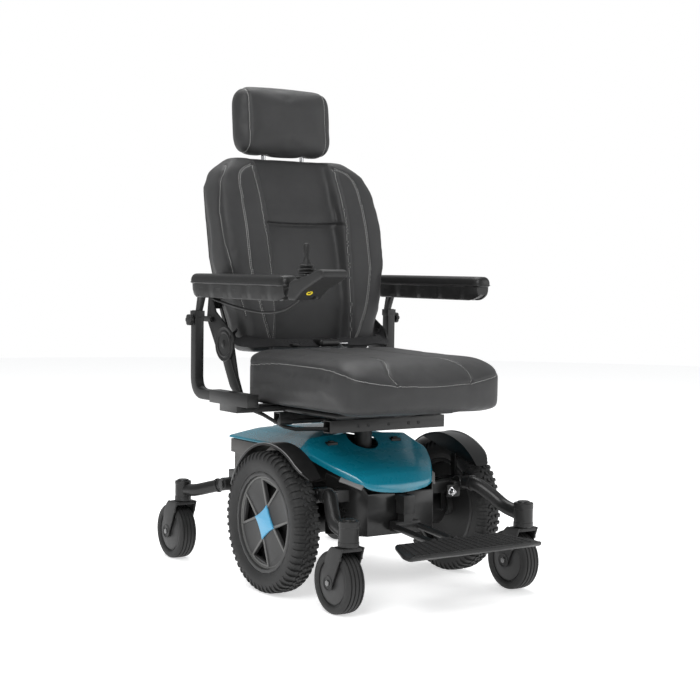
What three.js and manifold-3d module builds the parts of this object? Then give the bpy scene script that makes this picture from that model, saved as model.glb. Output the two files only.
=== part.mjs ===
// Six-wheeled power wheelchair with a captain's seat, in millimetres, +Z up.
// The front is -Y and the user's right is -X. Lengths along Y are written from the
// drive axle, and the whole chair is shifted so that its box is centred on the origin.
import * as THREE from 'three';
import { mergeVertices } from 'three/addons/utils/BufferGeometryUtils.js';
import { RoundedBoxGeometry } from 'three/addons/geometries/RoundedBoxGeometry.js';
import Module from 'manifold-3d';

const wasm = await Module();
wasm.setup();

// ---------------------------------------------------------------- dimensions
const AXLE_Y = -55.25;
const GAP = 0.3;
const RIGHT = -1;
const LEFT = 1;

const DRIVE = { radius: 170, x: 270, half: 34, rimR: 121, hubR: 28, shaftR: 9, faceX: 18, segs: 24 };
const STUB_AXLE = { inner: 60, hubBack: 30, lip: 27, well: 9 };
const WINDOW = { apexR: 44, outerR: 100, halfDeg: 19, count: 4, turnDeg: 12 };
const STAR = { tipR: 36, waistR: 17, thick: 5 };
const CASTER = { radius: 72.5, half: 24, trail: 35, boreR: 6.5, shoulder: 8, segs: 18 };
const FRONT_CASTER = { x: 255.5, y: -302, barrelR: 24, top: 216 };
const REAR_CASTER = { x: 262, y: 464, barrelR: 21.5, top: 210 };
const FORK = { crownTop: 156.5, crownThick: 8, stemR: 8, armGap: 2.5, armThick: 5, bossR: 17, axleR: 6 };
const BARREL = { bottom: 157, capR: 13, capHigh: 4 };
const FRONT_ARM = { y: -118, z: 245, bossR: 18, x0: 193, x1: 229, tubeR: 17 };
const REAR_ARM = { y: 318, z: 216, bossR: 17, x0: 193, x1: 227, tubeR: 16 };
const PIVOT = { pinR: 6, bore: 6.4, headR: 11, headThick: 5 };

const RAIL = { x0: 172, x1: 192, y0: -136, y1: 345, z0: 222, z1: 250 };
const POST = { y: 12, r: 22, socketR: 29, socketTop: 327, bottom: 232, top: 383.7, padR: 34, padThick: 6 };
const TRAY = { x: 166, y0: 64, y1: 372, z0: 150, z1: 326, wall: 3, stepZ: 291, stepIn: 12 };
const STRAP = { ys: [100, 300], width: 30, thick: 6 };
const BATTERY = { x: 99, y0: 76, deep: 132, gap: 8, z0: 154, z1: 312, postR: 7, postHigh: 9, postX: 60 };
const MODULE = { x: 90, y0: -92, y1: -28, z0: 256, z1: 288, fin: 10, fins: 6 };
const MOTOR = { boxR: 46, x0: 168, x1: 231, canR: 38, canIn: 62, bore: 9.4, boreX: 207, z: 170 };
const LEVER = { x: 205, y: -47, z: 170, pinR: 4, length: 44, wide: 12, thick: 4 };

const SHELL = 3;
const LID = { x: 170, y0: 38, y1: 383, z0: 328.3 };
const NOSE = { y0: -155, y1: 37, wide: 175, front: 100, low: 238, high: 364 };
const NOSE_CREST = [[-156, 252], [-148, 262], [-124, 284], [-108, 294], [-80, 307], [-26, 330], [10, 349]];
const CHIN = { front: 97, wide: 160, y0: -150, y1: -62, z0: 140 };
const FENDER = { inner: 184, thick: 4, flare: 4, x0: 231, x1: 285, front: 52, rear: 68, steps: 16 };
const FENDER_PANEL = { thick: 3, steps: 11 };
const STAY = { y0: -70, y1: -50, x0: 176, z0: 250.4, z1: 312, thick: 3.6 };

const HANGER = { outer: 32, tube: 26, hole: 26.6, y: -168, z0: 192, z1: 236, low: 150, top: 232, barX: 32 };
const PLATE = { x: 193, rearX: 155, y0: -462, y1: -330, rearZ: 157, frontZ: 148, thick: 13, lip: 8 };
const TREAD = { high: 2, count: 6, pitch: 15, first: 12 };
const HINGE = { y: -318, z: 147, pinR: 5, bore: 5.4, knuckleR: 10, knuckleHalf: 20, barThick: 8, half: 44 };

const BEAM = { x: 170, y0: -96, y1: -66, z0: 384.3, z1: 414.3, wall: 2.5 };
const PAN = { x: 176, y0: -130, y1: 205, z0: 420, z1: 434 };
const REAR_BEAM = { y0: 130, y1: 160 };
const BRACE = {
  r: 5,
  path: [[164, -80, 394], [182, -30, 390], [203, 40, 387], [240, 118, 420], [268, 160, 432]],
};
const SEAT = { x: 228, y0: -292, y1: 214, z0: 435, z1: 570, corner: -257, round: 26 };
const SWIVEL = { x: -96, y: 34, z: 404, r: 5, reach: -232, knobR: 9, knobLong: 34, bossR: 9 };

const RECEIVER = { x: 299, size: 31, hole: 25.8, y0: 45, y1: 230, z: 454.5, cap: 4 };
const LINK = { x: 170, y: 140, half: 42 };
const JTUBE = { x: 299, size: 25, front: 62, postY: 323, bend: 46, top: 663, hole: 20.6, holeLow: 520 };
const JPOST = { size: 20, low: 530, top: 664, neck: 10, pivotY: 309, pivotZ: 705, earR: 14, pinR: 5 };
const PAD = { x0: 262, x1: 311, y0: -105, y1: 350, skinZ: 735, top: 758, low: 695, wall: 4, roof: 731, round: 9 };
const KNOB = { r: 15, neckR: 7, neck: 4, head: 11, z: 640, lobes: 6 };

const CONTROL = { x0: -325, x1: -256, y0: -291, y1: -145 };
const STEM_BAR = { x0: -297, x1: -284, y1: -20, z0: 708, z1: 724 };
const STICK = { x: -290.5, y: -172, collarTop: 752, wellR: 25, wellLow: 716, bootR: 21, knobR: 8.5, top: 831 };
const GIMBAL = { z: 742, r: 12, holeR: 8, half: 4, stubR: 3 };
const DIAL = { x: -278, y: -222, r: 6, high: 9 };
const BUTTON = { xs: [-306, -278], y: -252, r: 6, deep: 7 };
const SOCKET = { x: -276, y: -168, z: 712, r: 9 };
const TOP_SLOPE_DEG = 13.4;

const DISC = { y: 289, z: 579, r: 45, x0: 230.5, x1: 235.5, pinR: 8, bore: 8.4, outX: 236, outX1: 240.5 };
const BACK_SHELL = 14;
const HEAD = { x: 145, thick: 88, high: 178, y: 402, z0: 1070, round: 40, leanDeg: 6 };
const POSTS = { x: 60, r: 6, hole: 6.5, low: 985, high: 1160, y: 405, z: 1072 };
const LATCH = { y: 352, z: 640, r: 6, x0: 241, x1: 247, long: 60, wide: 14 };
const BELT = { y0: 165, y1: 210, z0: 574, z1: 577, out: 205 };
const BELT_TAB = { x0: 223, x1: 227, y0: 258, y1: 300, top: 612 };
const BUCKLE = { x0: -32, x1: 30, y0: 160, y1: 215, z0: 574, z1: 592, round: 6 };
const RELEASE = { x0: 8, x1: 20, y: 187.5, half: 14, slotHalf: 12 };
const TONGUE = { x0: 31, x1: 60, y0: 166, y1: 209 };
const CABLE = {
  r: 3,
  sides: 8,
  path: [[-286, -143, 703], [-286, -130, 697], [-286, -105, 686], [-286, -75, 677], [-286, -40, 671],
    [-286, 0, 668], [-286, 45, 668], [-286, 90, 671], [-286, 130, 675], [-286, 170, 680], [-286, 205, 685],
    [-286, 235, 689], [-286, 255, 692], [-286, 270, 696], [-286, 279, 702]],
};

// Half widths of the backrest seen from the front, from its foot to its crown.
const BACK_OUTLINE = [[0, 566], [184, 566], [197, 590], [207, 640], [226, 705], [246, 800], [245, 900],
  [238, 985], [220, 1024], [168, 1060], [90, 1066], [0, 1067]];
// The backrest seen from the side: front of the bolsters, then the rear face.
const BACK_FRONT = [[246, 566], [238, 610], [236, 680], [252, 780],
  [274, 880], [304, 960], [340, 1030], [368, 1058]];
const BACK_REAR = [[438, 1060], [449, 1030], [439, 970], [415, 890],
  [398, 810], [384, 720], [371, 640], [360, 566]];
// The recessed middle of the backrest cushion, from the seat up to the headrest.
const BACK_CENTRE = [[150, 560], [286, 560], [272, 700], [300, 820],
  [322, 896], [352, 990], [396, 1075], [150, 1075]];

// ------------------------------------------------------------------ finishes
function finish(color, roughness, metalness) {
  return new THREE.MeshStandardMaterial({ color, roughness, metalness });
}

const BLACK_PAINT = () => finish(0x1a1a1c, 0.38, 0.2);
const BLACK_PLASTIC = () => finish(0x1d1e20, 0.5, 0.0);
const GREY_PLASTIC = () => finish(0x8e8e8c, 0.5, 0.0);
const TEAL = () => finish(0x14879f, 0.22, 0.1);
const SILVER = () => finish(0x9a9a9a, 0.35, 0.5);
const RUBBER = () => finish(0x6a6a6a, 0.8, 0.0);
const VINYL = () => finish(0x505154, 0.55, 0.0);
const CHROME = () => finish(0xd0d0d0, 0.1, 1.0);
const WEBBING = () => finish(0x202020, 0.8, 0.0);

// -------------------------------------------------------------- solid helpers
const rad = THREE.MathUtils.degToRad;
const WELD = 1e-4;

function signedVolume(positions, index) {
  const [a, b, c] = [new THREE.Vector3(), new THREE.Vector3(), new THREE.Vector3()];
  let volume = 0;
  for (let i = 0; i < index.length; i += 3) {
    a.fromArray(positions, index[i] * 3);
    b.fromArray(positions, index[i + 1] * 3);
    c.fromArray(positions, index[i + 2] * 3);
    volume += a.dot(b.cross(c));
  }
  return volume;
}

// Welds a closed geometry, drops collapsed triangles and turns its faces outward.
function toSolid(geometry) {
  const bare = new THREE.BufferGeometry();
  bare.setAttribute('position', geometry.getAttribute('position'));
  if (geometry.index) bare.setIndex(geometry.index);
  const welded = mergeVertices(bare, WELD);
  const corners = welded.index.array;
  const kept = [];
  for (let i = 0; i < corners.length; i += 3) {
    const [a, b, c] = [corners[i], corners[i + 1], corners[i + 2]];
    if (a !== b && b !== c && c !== a) kept.push(a, b, c);
  }
  const vertProperties = new Float32Array(welded.getAttribute('position').array);
  const outward = signedVolume(vertProperties, kept) > 0;
  const triVerts = new Uint32Array(outward ? kept : kept.reverse());
  return new wasm.Manifold(new wasm.Mesh({ numProp: 3, vertProperties, triVerts }));
}

function toGeometry(solid) {
  const { vertProperties, triVerts } = solid.getMesh();
  const geometry = new THREE.BufferGeometry();
  geometry.setAttribute('position', new THREE.BufferAttribute(new Float32Array(vertProperties), 3));
  geometry.setIndex(new THREE.BufferAttribute(new Uint32Array(triVerts), 1));
  geometry.computeVertexNormals();
  return geometry;
}

const join = (...solids) => solids.reduce((whole, next) => whole.add(next));
const cut = (solid, ...tools) => tools.reduce((rest, tool) => rest.subtract(tool), solid);

function block(x0, x1, y0, y1, z0, z1) {
  const geometry = new THREE.BoxGeometry(x1 - x0, y1 - y0, z1 - z0);
  return toSolid(geometry.translate((x0 + x1) / 2, (y0 + y1) / 2, (z0 + z1) / 2));
}

function roundedBlock(x0, x1, y0, y1, z0, z1, radius, segments = 2) {
  const geometry = new RoundedBoxGeometry(x1 - x0, y1 - y0, z1 - z0, segments, radius);
  return toSolid(geometry.translate((x0 + x1) / 2, (y0 + y1) / 2, (z0 + z1) / 2));
}

function rod(from, to, radius, sides = 16) {
  const [start, end] = [new THREE.Vector3(...from), new THREE.Vector3(...to)];
  const along = end.clone().sub(start);
  const geometry = new THREE.CylinderGeometry(radius, radius, along.length(), sides);
  const upright = new THREE.Vector3(0, 1, 0);
  const turn = new THREE.Quaternion().setFromUnitVectors(upright, along.clone().normalize());
  geometry.applyQuaternion(turn);
  const middle = start.add(end).multiplyScalar(0.5);
  return toSolid(geometry.translate(middle.x, middle.y, middle.z));
}

const rodX = (x0, x1, y, z, radius, sides) => rod([x0, y, z], [x1, y, z], radius, sides);
const rodZ = (x, y, z0, z1, radius, sides) => rod([x, y, z0], [x, y, z1], radius, sides);

function shapeOf(points) {
  return new THREE.Shape(points.map(([u, v]) => new THREE.Vector2(u, v)));
}

const AXES_X = new THREE.Matrix4().set(0, 0, 1, 0, 1, 0, 0, 0, 0, 1, 0, 0, 0, 0, 0, 1);
const AXES_Y = new THREE.Matrix4().set(1, 0, 0, 0, 0, 0, -1, 0, 0, 1, 0, 0, 0, 0, 0, 1);

function extruded(shape, depth, curveSegments) {
  return new THREE.ExtrudeGeometry(shape, { depth, bevelEnabled: false, curveSegments });
}

// A plate across X whose outline is given in Y and Z.
function plateX(shape, x0, x1, curveSegments = 8) {
  return toSolid(extruded(shape, x1 - x0, curveSegments).applyMatrix4(AXES_X).translate(x0, 0, 0));
}

// A plate across Y whose outline is given in X and Z.
function plateY(shape, y0, y1, curveSegments = 8) {
  return toSolid(extruded(shape, y1 - y0, curveSegments).applyMatrix4(AXES_Y).translate(0, y1, 0));
}

// A plate across Z whose outline is given in X and Y.
function plateZ(shape, z0, z1, curveSegments = 8) {
  return toSolid(extruded(shape, z1 - z0, curveSegments).translate(0, 0, z0));
}

// A body turned about the X axis through (y, z); its profile is given as radius and x.
function turnedX(profile, x, y, z, segments) {
  const points = profile.map(([radius, along]) => new THREE.Vector2(radius, along));
  const geometry = new THREE.LatheGeometry(points, segments);
  return toSolid(geometry.rotateZ(-Math.PI / 2).translate(x, y, z));
}

// A body turned about the Z axis through (x, y); its profile is given as radius and height.
function turnedZ(profile, x, y, z, segments) {
  const points = profile.map(([radius, along]) => new THREE.Vector2(radius, along));
  const geometry = new THREE.LatheGeometry(points, segments);
  return toSolid(geometry.rotateX(Math.PI / 2).translate(x, y, z));
}

function tube(points, radius, sides, steps) {
  const path = new THREE.CatmullRomCurve3(points.map((p) => new THREE.Vector3(...p)), false, 'centripetal');
  const circle = new THREE.Shape().absarc(0, 0, radius, 0, Math.PI * 2);
  const options = { steps, extrudePath: path, curveSegments: sides / 2, bevelEnabled: false };
  return toSolid(new THREE.ExtrudeGeometry(circle, options));
}

const polar = (radius, degrees) => [radius * Math.cos(rad(degrees)), radius * Math.sin(rad(degrees))];

// ------------------------------------------------------------------ assembly
const chair = new THREE.Group();
chair.position.y = AXLE_Y;

function add(name, solid, material, side = LEFT) {
  const geometry = toGeometry(solid);
  if (side === RIGHT) {
    geometry.scale(RIGHT, 1, 1);
    geometry.index.array.reverse();
    geometry.computeVertexNormals();
  }
  const mesh = new THREE.Mesh(geometry, material);
  mesh.name = name;
  chair.add(mesh);
}

// Adds a piece drawn for the left side and its mirror image on the right.
function addPair(name, solid, material) {
  add(`${name}_right`, solid, material(), RIGHT);
  add(`${name}_left`, solid, material(), LEFT);
}

// -------------------------------------------------------------------- wheels
function driveTyre() {
  const { radius, half, rimR, x, segs } = DRIVE;
  const side = [[rimR, 28], [148, half], [165, 29], [radius, 12]];
  const mirrored = side.map(([r, along]) => [r, -along]).reverse();
  return turnedX([...side, ...mirrored, side[0]], x, 0, radius, segs);
}

function windowCut(turn) {
  const [apex, low, high] = [
    polar(WINDOW.apexR, turn),
    polar(WINDOW.outerR, turn - WINDOW.halfDeg),
    polar(WINDOW.outerR, turn + WINDOW.halfDeg),
  ];
  const shape = shapeOf([apex, low, high].map(([u, v]) => [u, v + DRIVE.radius]));
  return plateX(shape, DRIVE.x, DRIVE.x + DRIVE.half);
}

function starCap() {
  const shape = new THREE.Shape();
  for (let i = 0; i < WINDOW.count; i += 1) {
    const turn = WINDOW.turnDeg + (i * 360) / WINDOW.count;
    const [tip, waist] = [polar(STAR.tipR, turn), polar(STAR.waistR, turn + 180 / WINDOW.count)];
    const next = polar(STAR.tipR, turn + 360 / WINDOW.count);
    if (i === 0) shape.moveTo(tip[0], tip[1] + DRIVE.radius);
    shape.quadraticCurveTo(waist[0], waist[1] + DRIVE.radius, next[0], next[1] + DRIVE.radius);
  }
  const front = DRIVE.x + DRIVE.faceX;
  return plateX(shape, front - 1, front + STAR.thick, 5);
}

function driveRim() {
  const { rimR, hubR, shaftR, faceX, x, radius, segs } = DRIVE;
  const { inner, hubBack, lip } = STUB_AXLE;
  const seat = rimR - GAP;
  const web = faceX - 8;
  const well = rimR - STUB_AXLE.well;
  const profile = [[0, -inner], [shaftR, -inner], [shaftR, -hubBack], [hubR, -hubBack], [hubR, web], [well, web],
    [well, -lip], [seat, -lip], [seat, lip], [well, lip], [well, faceX], [0, faceX]];
  let rim = turnedX(profile, x, 0, radius, segs);
  for (let i = 0; i < WINDOW.count; i += 1) {
    rim = cut(rim, windowCut(WINDOW.turnDeg + (i * 360) / WINDOW.count));
  }
  return join(rim, starCap());
}

function casterWheel({ x, y }) {
  const { radius, half, trail, boreR, shoulder, segs } = CASTER;
  const side = [[boreR, half - 5], [58, half], [radius - 3, half - 3], [radius, half - shoulder]];
  const mirrored = side.map(([r, along]) => [r, -along]).reverse();
  return turnedX([...side, ...mirrored, side[0]], x, y + trail, radius, segs);
}

function fork({ x, y }) {
  const inner = CASTER.half + FORK.armGap;
  const outer = inner + FORK.armThick;
  const axle = [y + CASTER.trail, CASTER.radius];
  const shape = new THREE.Shape();
  shape.moveTo(y - 20, FORK.crownTop);
  shape.lineTo(y + 24, FORK.crownTop);
  shape.quadraticCurveTo(axle[0] + 22, FORK.crownTop - 20, axle[0] + FORK.bossR, axle[1]);
  shape.absarc(axle[0], axle[1], FORK.bossR, 0, -Math.PI, true);
  shape.quadraticCurveTo(y - 8, FORK.crownTop - 34, y - 20, FORK.crownTop);
  const plates = [[-outer, -inner], [inner, outer]].map(([a, b]) => plateX(shape, x + a, x + b, 4));
  const crownLow = FORK.crownTop - FORK.crownThick;
  const crown = block(x - outer, x + outer, y - 19, y + 22, crownLow, FORK.crownTop);
  const stem = rodZ(x, y, crownLow, BARREL.bottom + 44, FORK.stemR, 10);
  const axlePin = rodX(x - outer - 3, x + outer + 3, axle[0], axle[1], FORK.axleR, 10);
  return join(...plates, crown, stem, axlePin);
}

// ---------------------------------------------------------- suspension arms
function barrel({ x, y, barrelR, top }) {
  const capTop = top + BARREL.capHigh;
  const profile = [[0, BARREL.bottom], [barrelR, BARREL.bottom], [barrelR, top], [BARREL.capR, capTop], [0, capTop]];
  return turnedZ(profile, x, y, 0, 16);
}

const barrelBore = ({ x, y }) => rodZ(x, y, BARREL.bottom - 1, BARREL.bottom + 46, FORK.stemR + 0.5, 10);

function frontArm() {
  const { y, z, bossR, x0, x1, tubeR } = FRONT_ARM;
  const path = [[212, y, z], [213, -148, 248], [219, -172, 244],
    [236, -206, 222], [249, -240, 199], [255, -296, 186]];
  const arm = join(tube(path, tubeR, 10, 8), rodX(x0, x1, y, z, bossR, 12), barrel(FRONT_CASTER));
  return cut(arm, barrelBore(FRONT_CASTER), rodX(x0 - 1, x1 + 1, y, z, PIVOT.bore, 12));
}

function rearArm() {
  const { y, z, bossR, x0, x1, tubeR } = REAR_ARM;
  const path = [[210, y, z], [214, 346, 210], [232, 380, 200], [250, 416, 190], [260, 458, 186]];
  const arm = join(tube(path, tubeR, 10, 8), rodX(x0, x1, y, z, bossR, 12), barrel(REAR_CASTER));
  return cut(arm, barrelBore(REAR_CASTER), rodX(x0 - 1, x1 + 1, y, z, PIVOT.bore, 12));
}

// ------------------------------------------------------------------- chassis
function pivotPin({ y, z, x1 }) {
  const pin = rodX(RAIL.x1 - 4, x1 + GAP + PIVOT.headThick, y, z, PIVOT.pinR, 12);
  const head = rodX(x1 + GAP, x1 + GAP + PIVOT.headThick, y, z, PIVOT.headR, 6);
  return join(pin, head);
}

function chassisSide() {
  const rail = block(RAIL.x0, RAIL.x1, RAIL.y0, RAIL.y1, RAIL.z0, RAIL.z1);
  const lug = block(RAIL.x0, RAIL.x1, REAR_ARM.y - 20, REAR_ARM.y + 20, REAR_ARM.z - 14, RAIL.z1);
  const saddle = block(RAIL.x1 - 1, MOTOR.x1 - 20, -22, 22, RAIL.z0, RAIL.z0 + 18);
  return join(rail, lug, saddle, pivotPin(FRONT_ARM), pivotPin(REAR_ARM));
}

function mirroredSolid(solid) {
  const geometry = toGeometry(solid);
  return toSolid(geometry.scale(RIGHT, 1, 1));
}

function trayStrap(y) {
  const x = RAIL.x0 + STRAP.thick;
  const low = TRAY.z0 - GAP - STRAP.thick;
  const outside = block(-x, x, y, y + STRAP.width, low, RAIL.z0 + 2);
  const inside = RAIL.x0 - 1;
  return cut(outside, block(-inside, inside, y - 1, y + STRAP.width + 1, low + STRAP.thick, RAIL.z1));
}

function chassis() {
  const side = chassisSide();
  const front = block(-RAIL.x0 - 1, RAIL.x0 + 1, -111, -86, RAIL.z0, RAIL.z1);
  const middle = block(-RAIL.x0 - 1, RAIL.x0 + 1, -14, 38, RAIL.z0, RAIL.z1);
  const spine = block(-20, 20, -87, -13, RAIL.z0, RAIL.z1);
  const socket = rodZ(0, POST.y, RAIL.z0, POST.socketTop, POST.socketR, 20);
  const half = HANGER.outer / 2;
  const receiver = block(-half, half, HANGER.y - half, HANGER.y + half, HANGER.z0, HANGER.z1);
  const neck = block(-half, half, HANGER.y + half - 1, -110, RAIL.z0 + 2, HANGER.z1);
  const sides = join(side, mirroredSolid(side), ...STRAP.ys.map(trayStrap));
  const body = join(sides, front, middle, spine, socket, receiver, neck);
  const slot = HANGER.hole / 2;
  return cut(
    body,
    rodZ(0, POST.y, POST.bottom - 2, POST.socketTop + 1, POST.r + GAP, 20),
    block(-slot, slot, HANGER.y - slot, HANGER.y + slot, HANGER.z0 - 1, HANGER.z1 + 1),
  );
}

function batteryTray() {
  const { x, y0, y1, z0, z1, wall, stepZ, stepIn } = TRAY;
  const lower = block(-x, x, y0, y1 - stepIn, z0, stepZ + 1);
  const upper = block(-x - 2, x + 2, y0, y1 + 4, stepZ, z1);
  const hollow = block(-x + wall, x - wall, y0 + wall, y1 - stepIn - wall, z0 + wall, z1 + 1);
  return cut(join(lower, upper), hollow);
}

function battery(index) {
  const { x, deep, gap, z0, z1, postR, postHigh, postX } = BATTERY;
  const y0 = BATTERY.y0 + index * (deep + gap);
  const body = block(-x, x, y0, y0 + deep, z0, z1);
  const terminals = [-postX, postX].map((px) => rodZ(px, y0 + deep / 2, z1 - 2, z1 + postHigh, postR, 8));
  return join(body, ...terminals);
}

function batteryPack() {
  const { y0, deep, gap, z0 } = BATTERY;
  const bridge = block(-20, 20, y0 + deep - 2, y0 + deep + gap + 2, z0 + 20, z0 + 60);
  return join(battery(0), battery(1), bridge);
}

function controlModule() {
  const { x, y0, y1, z0, z1, fin, fins } = MODULE;
  const grooves = [];
  for (let i = 0; i < fins; i += 1) {
    const left = -x + 8 + (i * (2 * x - 16)) / fins;
    grooves.push(block(left, left + fin, y0 - 1, y1 + 1, z1 - 8, z1 + 1));
  }
  return cut(block(-x, x, y0, y1, z0, z1), ...grooves);
}

function gearMotor() {
  const { boxR, x0, x1, canR, canIn, bore, boreX, z } = MOTOR;
  const can = [[0, canIn], [canR - 6, canIn], [canR, canIn + 8], [canR, x0]];
  const gearbox = [[boxR - 4, x0], [boxR, x0 + 6], [boxR, x1 - 12], [boxR - 12, x1], [0, x1]];
  const spigot = rod([LEVER.x, -boxR + 4, z], [LEVER.x, LEVER.y - 8, z], LEVER.pinR, 12);
  return cut(join(turnedX([...can, ...gearbox], 0, 0, z, 16), spigot), rodX(boreX, x1 + 1, 0, z, bore));
}

function freewheelLever() {
  const { x, y, z, pinR, length, wide, thick } = LEVER;
  const shape = new THREE.Shape();
  shape.moveTo(x - wide / 2, z);
  shape.lineTo(x - wide / 2, z + length);
  shape.absarc(x, z + length, wide / 2, Math.PI, 0, true);
  shape.lineTo(x + wide / 2, z);
  shape.absarc(x, z, wide / 2, 0, -Math.PI, true);
  return cut(plateY(shape, y - thick - 1, y - 1, 6), rod([x, y - 12, z], [x, y + 6, z], pinR + GAP, 12));
}

// ------------------------------------------------------------ covers and shells
// The rear cover's outside, drawn in by an inset so that the same shape makes its hollow.
function lidBody(inset) {
  const { x, y0, y1, z0 } = LID;
  const side = new THREE.Shape();
  side.moveTo(y0 + inset, z0 - inset);
  side.lineTo(y1 - inset, z0 - inset);
  side.lineTo(y1 - inset, 339 - inset);
  side.quadraticCurveTo(y1 - 3 - inset, 350 - inset, y1 - 30 - inset, 354 - inset);
  side.quadraticCurveTo(240, 374 - inset, 130, 377 - inset);
  side.lineTo(y0 + inset, 371 - inset);
  const front = new THREE.Shape();
  front.moveTo(-x + inset, z0 - inset);
  front.lineTo(x - inset, z0 - inset);
  front.lineTo(x - inset, 332 - inset);
  front.quadraticCurveTo(146, 336 - inset, 108, 347 - inset);
  front.quadraticCurveTo(64, 368 - inset, 0, 373 - inset);
  front.quadraticCurveTo(-64, 368 - inset, -108, 347 - inset);
  front.quadraticCurveTo(-146, 336 - inset, -x + inset, 332 - inset);
  return plateX(side, -x, x, 6).intersect(plateY(front, y0 + inset, y1 - inset, 6));
}

function rearShroud() {
  return cut(lidBody(0), lidBody(SHELL));
}

// The front cover's outside: a nose that is wide at the seat post and narrows forward.
function noseBody(inset) {
  const { y0, y1, wide, front } = NOSE;
  const plan = new THREE.Shape();
  plan.moveTo(-wide + inset, y1 - inset);
  plan.lineTo(-wide + inset, -12);
  plan.quadraticCurveTo(-150 + inset, -84, -front + inset, -140);
  plan.quadraticCurveTo(-front + 12 + inset, y0 + 3 + inset, 0, y0 + inset);
  plan.quadraticCurveTo(front - 12 - inset, y0 + 3 + inset, front - inset, -140);
  plan.quadraticCurveTo(150 - inset, -84, wide - inset, -12);
  plan.lineTo(wide - inset, y1 - inset);
  const side = new THREE.Shape();
  side.moveTo(y1 - inset, 316 - inset);
  side.lineTo(-20, 312 - inset);
  side.lineTo(-140, 258 - inset);
  side.lineTo(y0 - 1, NOSE.low - inset);
  NOSE_CREST.forEach(([y, z]) => side.lineTo(y, z - inset));
  side.lineTo(y1 - inset, NOSE.high - inset);
  const facing = new THREE.Shape();
  facing.moveTo(-wide, 230 - inset);
  facing.lineTo(wide, 230 - inset);
  facing.lineTo(wide - inset, 316 - inset);
  facing.quadraticCurveTo(140 - inset, 326 - inset, 104, 343 - inset);
  facing.quadraticCurveTo(70, 366 - inset, 0, 374 - inset);
  facing.quadraticCurveTo(-70, 366 - inset, -104, 343 - inset);
  facing.quadraticCurveTo(-140 + inset, 326 - inset, -wide + inset, 316 - inset);
  const planned = plateZ(plan, 200, 400, 6);
  return planned.intersect(plateX(side, -wide, wide, 6)).intersect(plateY(facing, y0 - 1, y1 - inset, 6));
}

function frontShroud() {
  const postHole = rodZ(0, POST.y + 4, 300, 400, 40, 24);
  return cut(noseBody(0), noseBody(SHELL), postHole);
}

// The black shell under the front cover follows its lower edge; it is open above and behind.
function chinBody(inset) {
  const { front, wide, y0, y1, z0 } = CHIN;
  const plan = [[-wide + inset, y1 + inset], [-front + inset, y0 + inset], [front - inset, y0 + inset],
    [wide - inset, y1 + inset]];
  const side = [[y0, z0 + inset], [y1 + inset, z0 + inset], [y1 + inset, 287 + inset], [-140, 254 + inset],
    [y0, 236 + inset]];
  return plateZ(shapeOf(plan), 0, 400).intersect(plateX(shapeOf(side), -wide, wide));
}

function frontLowerShell() {
  const { wide, y1 } = CHIN;
  const half = HANGER.outer / 2 + 1;
  const notch = block(-half, half, CHIN.y0 - 1, CHIN.y0 + SHELL + 1, RAIL.z0, RAIL.z1);
  const beamSlots = block(-wide - 1, wide + 1, -112, -85, RAIL.z0 - 1, RAIL.z1 + 1);
  const spineSlot = block(-half, half, y1 - SHELL - 1, y1 + 1, RAIL.z0 - 1, RAIL.z1 + 1);
  return cut(chinBody(0), chinBody(SHELL), notch, beamSlots, spineSlot);
}

function fenderEdge(extra) {
  const points = [];
  for (let i = 0; i <= FENDER.steps; i += 1) {
    const turn = FENDER.front - (i * (FENDER.front + FENDER.rear)) / FENDER.steps;
    const flare = FENDER.flare * Math.max(0, turn / FENDER.front) ** 2;
    const radius = FENDER.inner + extra + flare;
    points.push([-radius * Math.sin(rad(turn)), DRIVE.radius + radius * Math.cos(rad(turn))]);
  }
  return points;
}

function fender() {
  const { x0, x1, thick } = FENDER;
  const outer = fenderEdge(thick);
  const arch = plateX(shapeOf([...outer, ...fenderEdge(0).reverse()]), x0, x1);
  const cover = plateX(shapeOf(outer.slice(0, FENDER_PANEL.steps)), x0, x0 + FENDER_PANEL.thick);
  const upright = block(x0 - STAY.thick, x0 + 1, STAY.y0, STAY.y1, STAY.z0, STAY.z1);
  const foot = block(STAY.x0, x0, STAY.y0, STAY.y1, STAY.z0, STAY.z0 + STAY.thick);
  return join(arch, cover, upright, foot);
}

// ----------------------------------------------------------------- footplate
function footplateHanger() {
  const half = HANGER.tube / 2;
  const post = block(-half, half, HANGER.y - half, HANGER.y + half, HANGER.low, HANGER.top);
  const wide = HANGER.barX + 4;
  const yoke = block(-wide, wide, HANGER.y - half, HANGER.y + half, HANGER.low, HANGER.low + 24);
  const bars = [-HANGER.barX, HANGER.barX].map((x) => {
    const bar = rod([x, HANGER.y, HANGER.low + 12], [x, HINGE.y, HINGE.z], HINGE.barThick, 10);
    return join(bar, rodX(x - 6, x + 6, HINGE.y, HINGE.z, HINGE.knuckleR, 12));
  });
  const pin = rodX(-HINGE.half, HINGE.half, HINGE.y, HINGE.z, HINGE.pinR, 10);
  return join(post, yoke, ...bars, pin);
}

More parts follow.
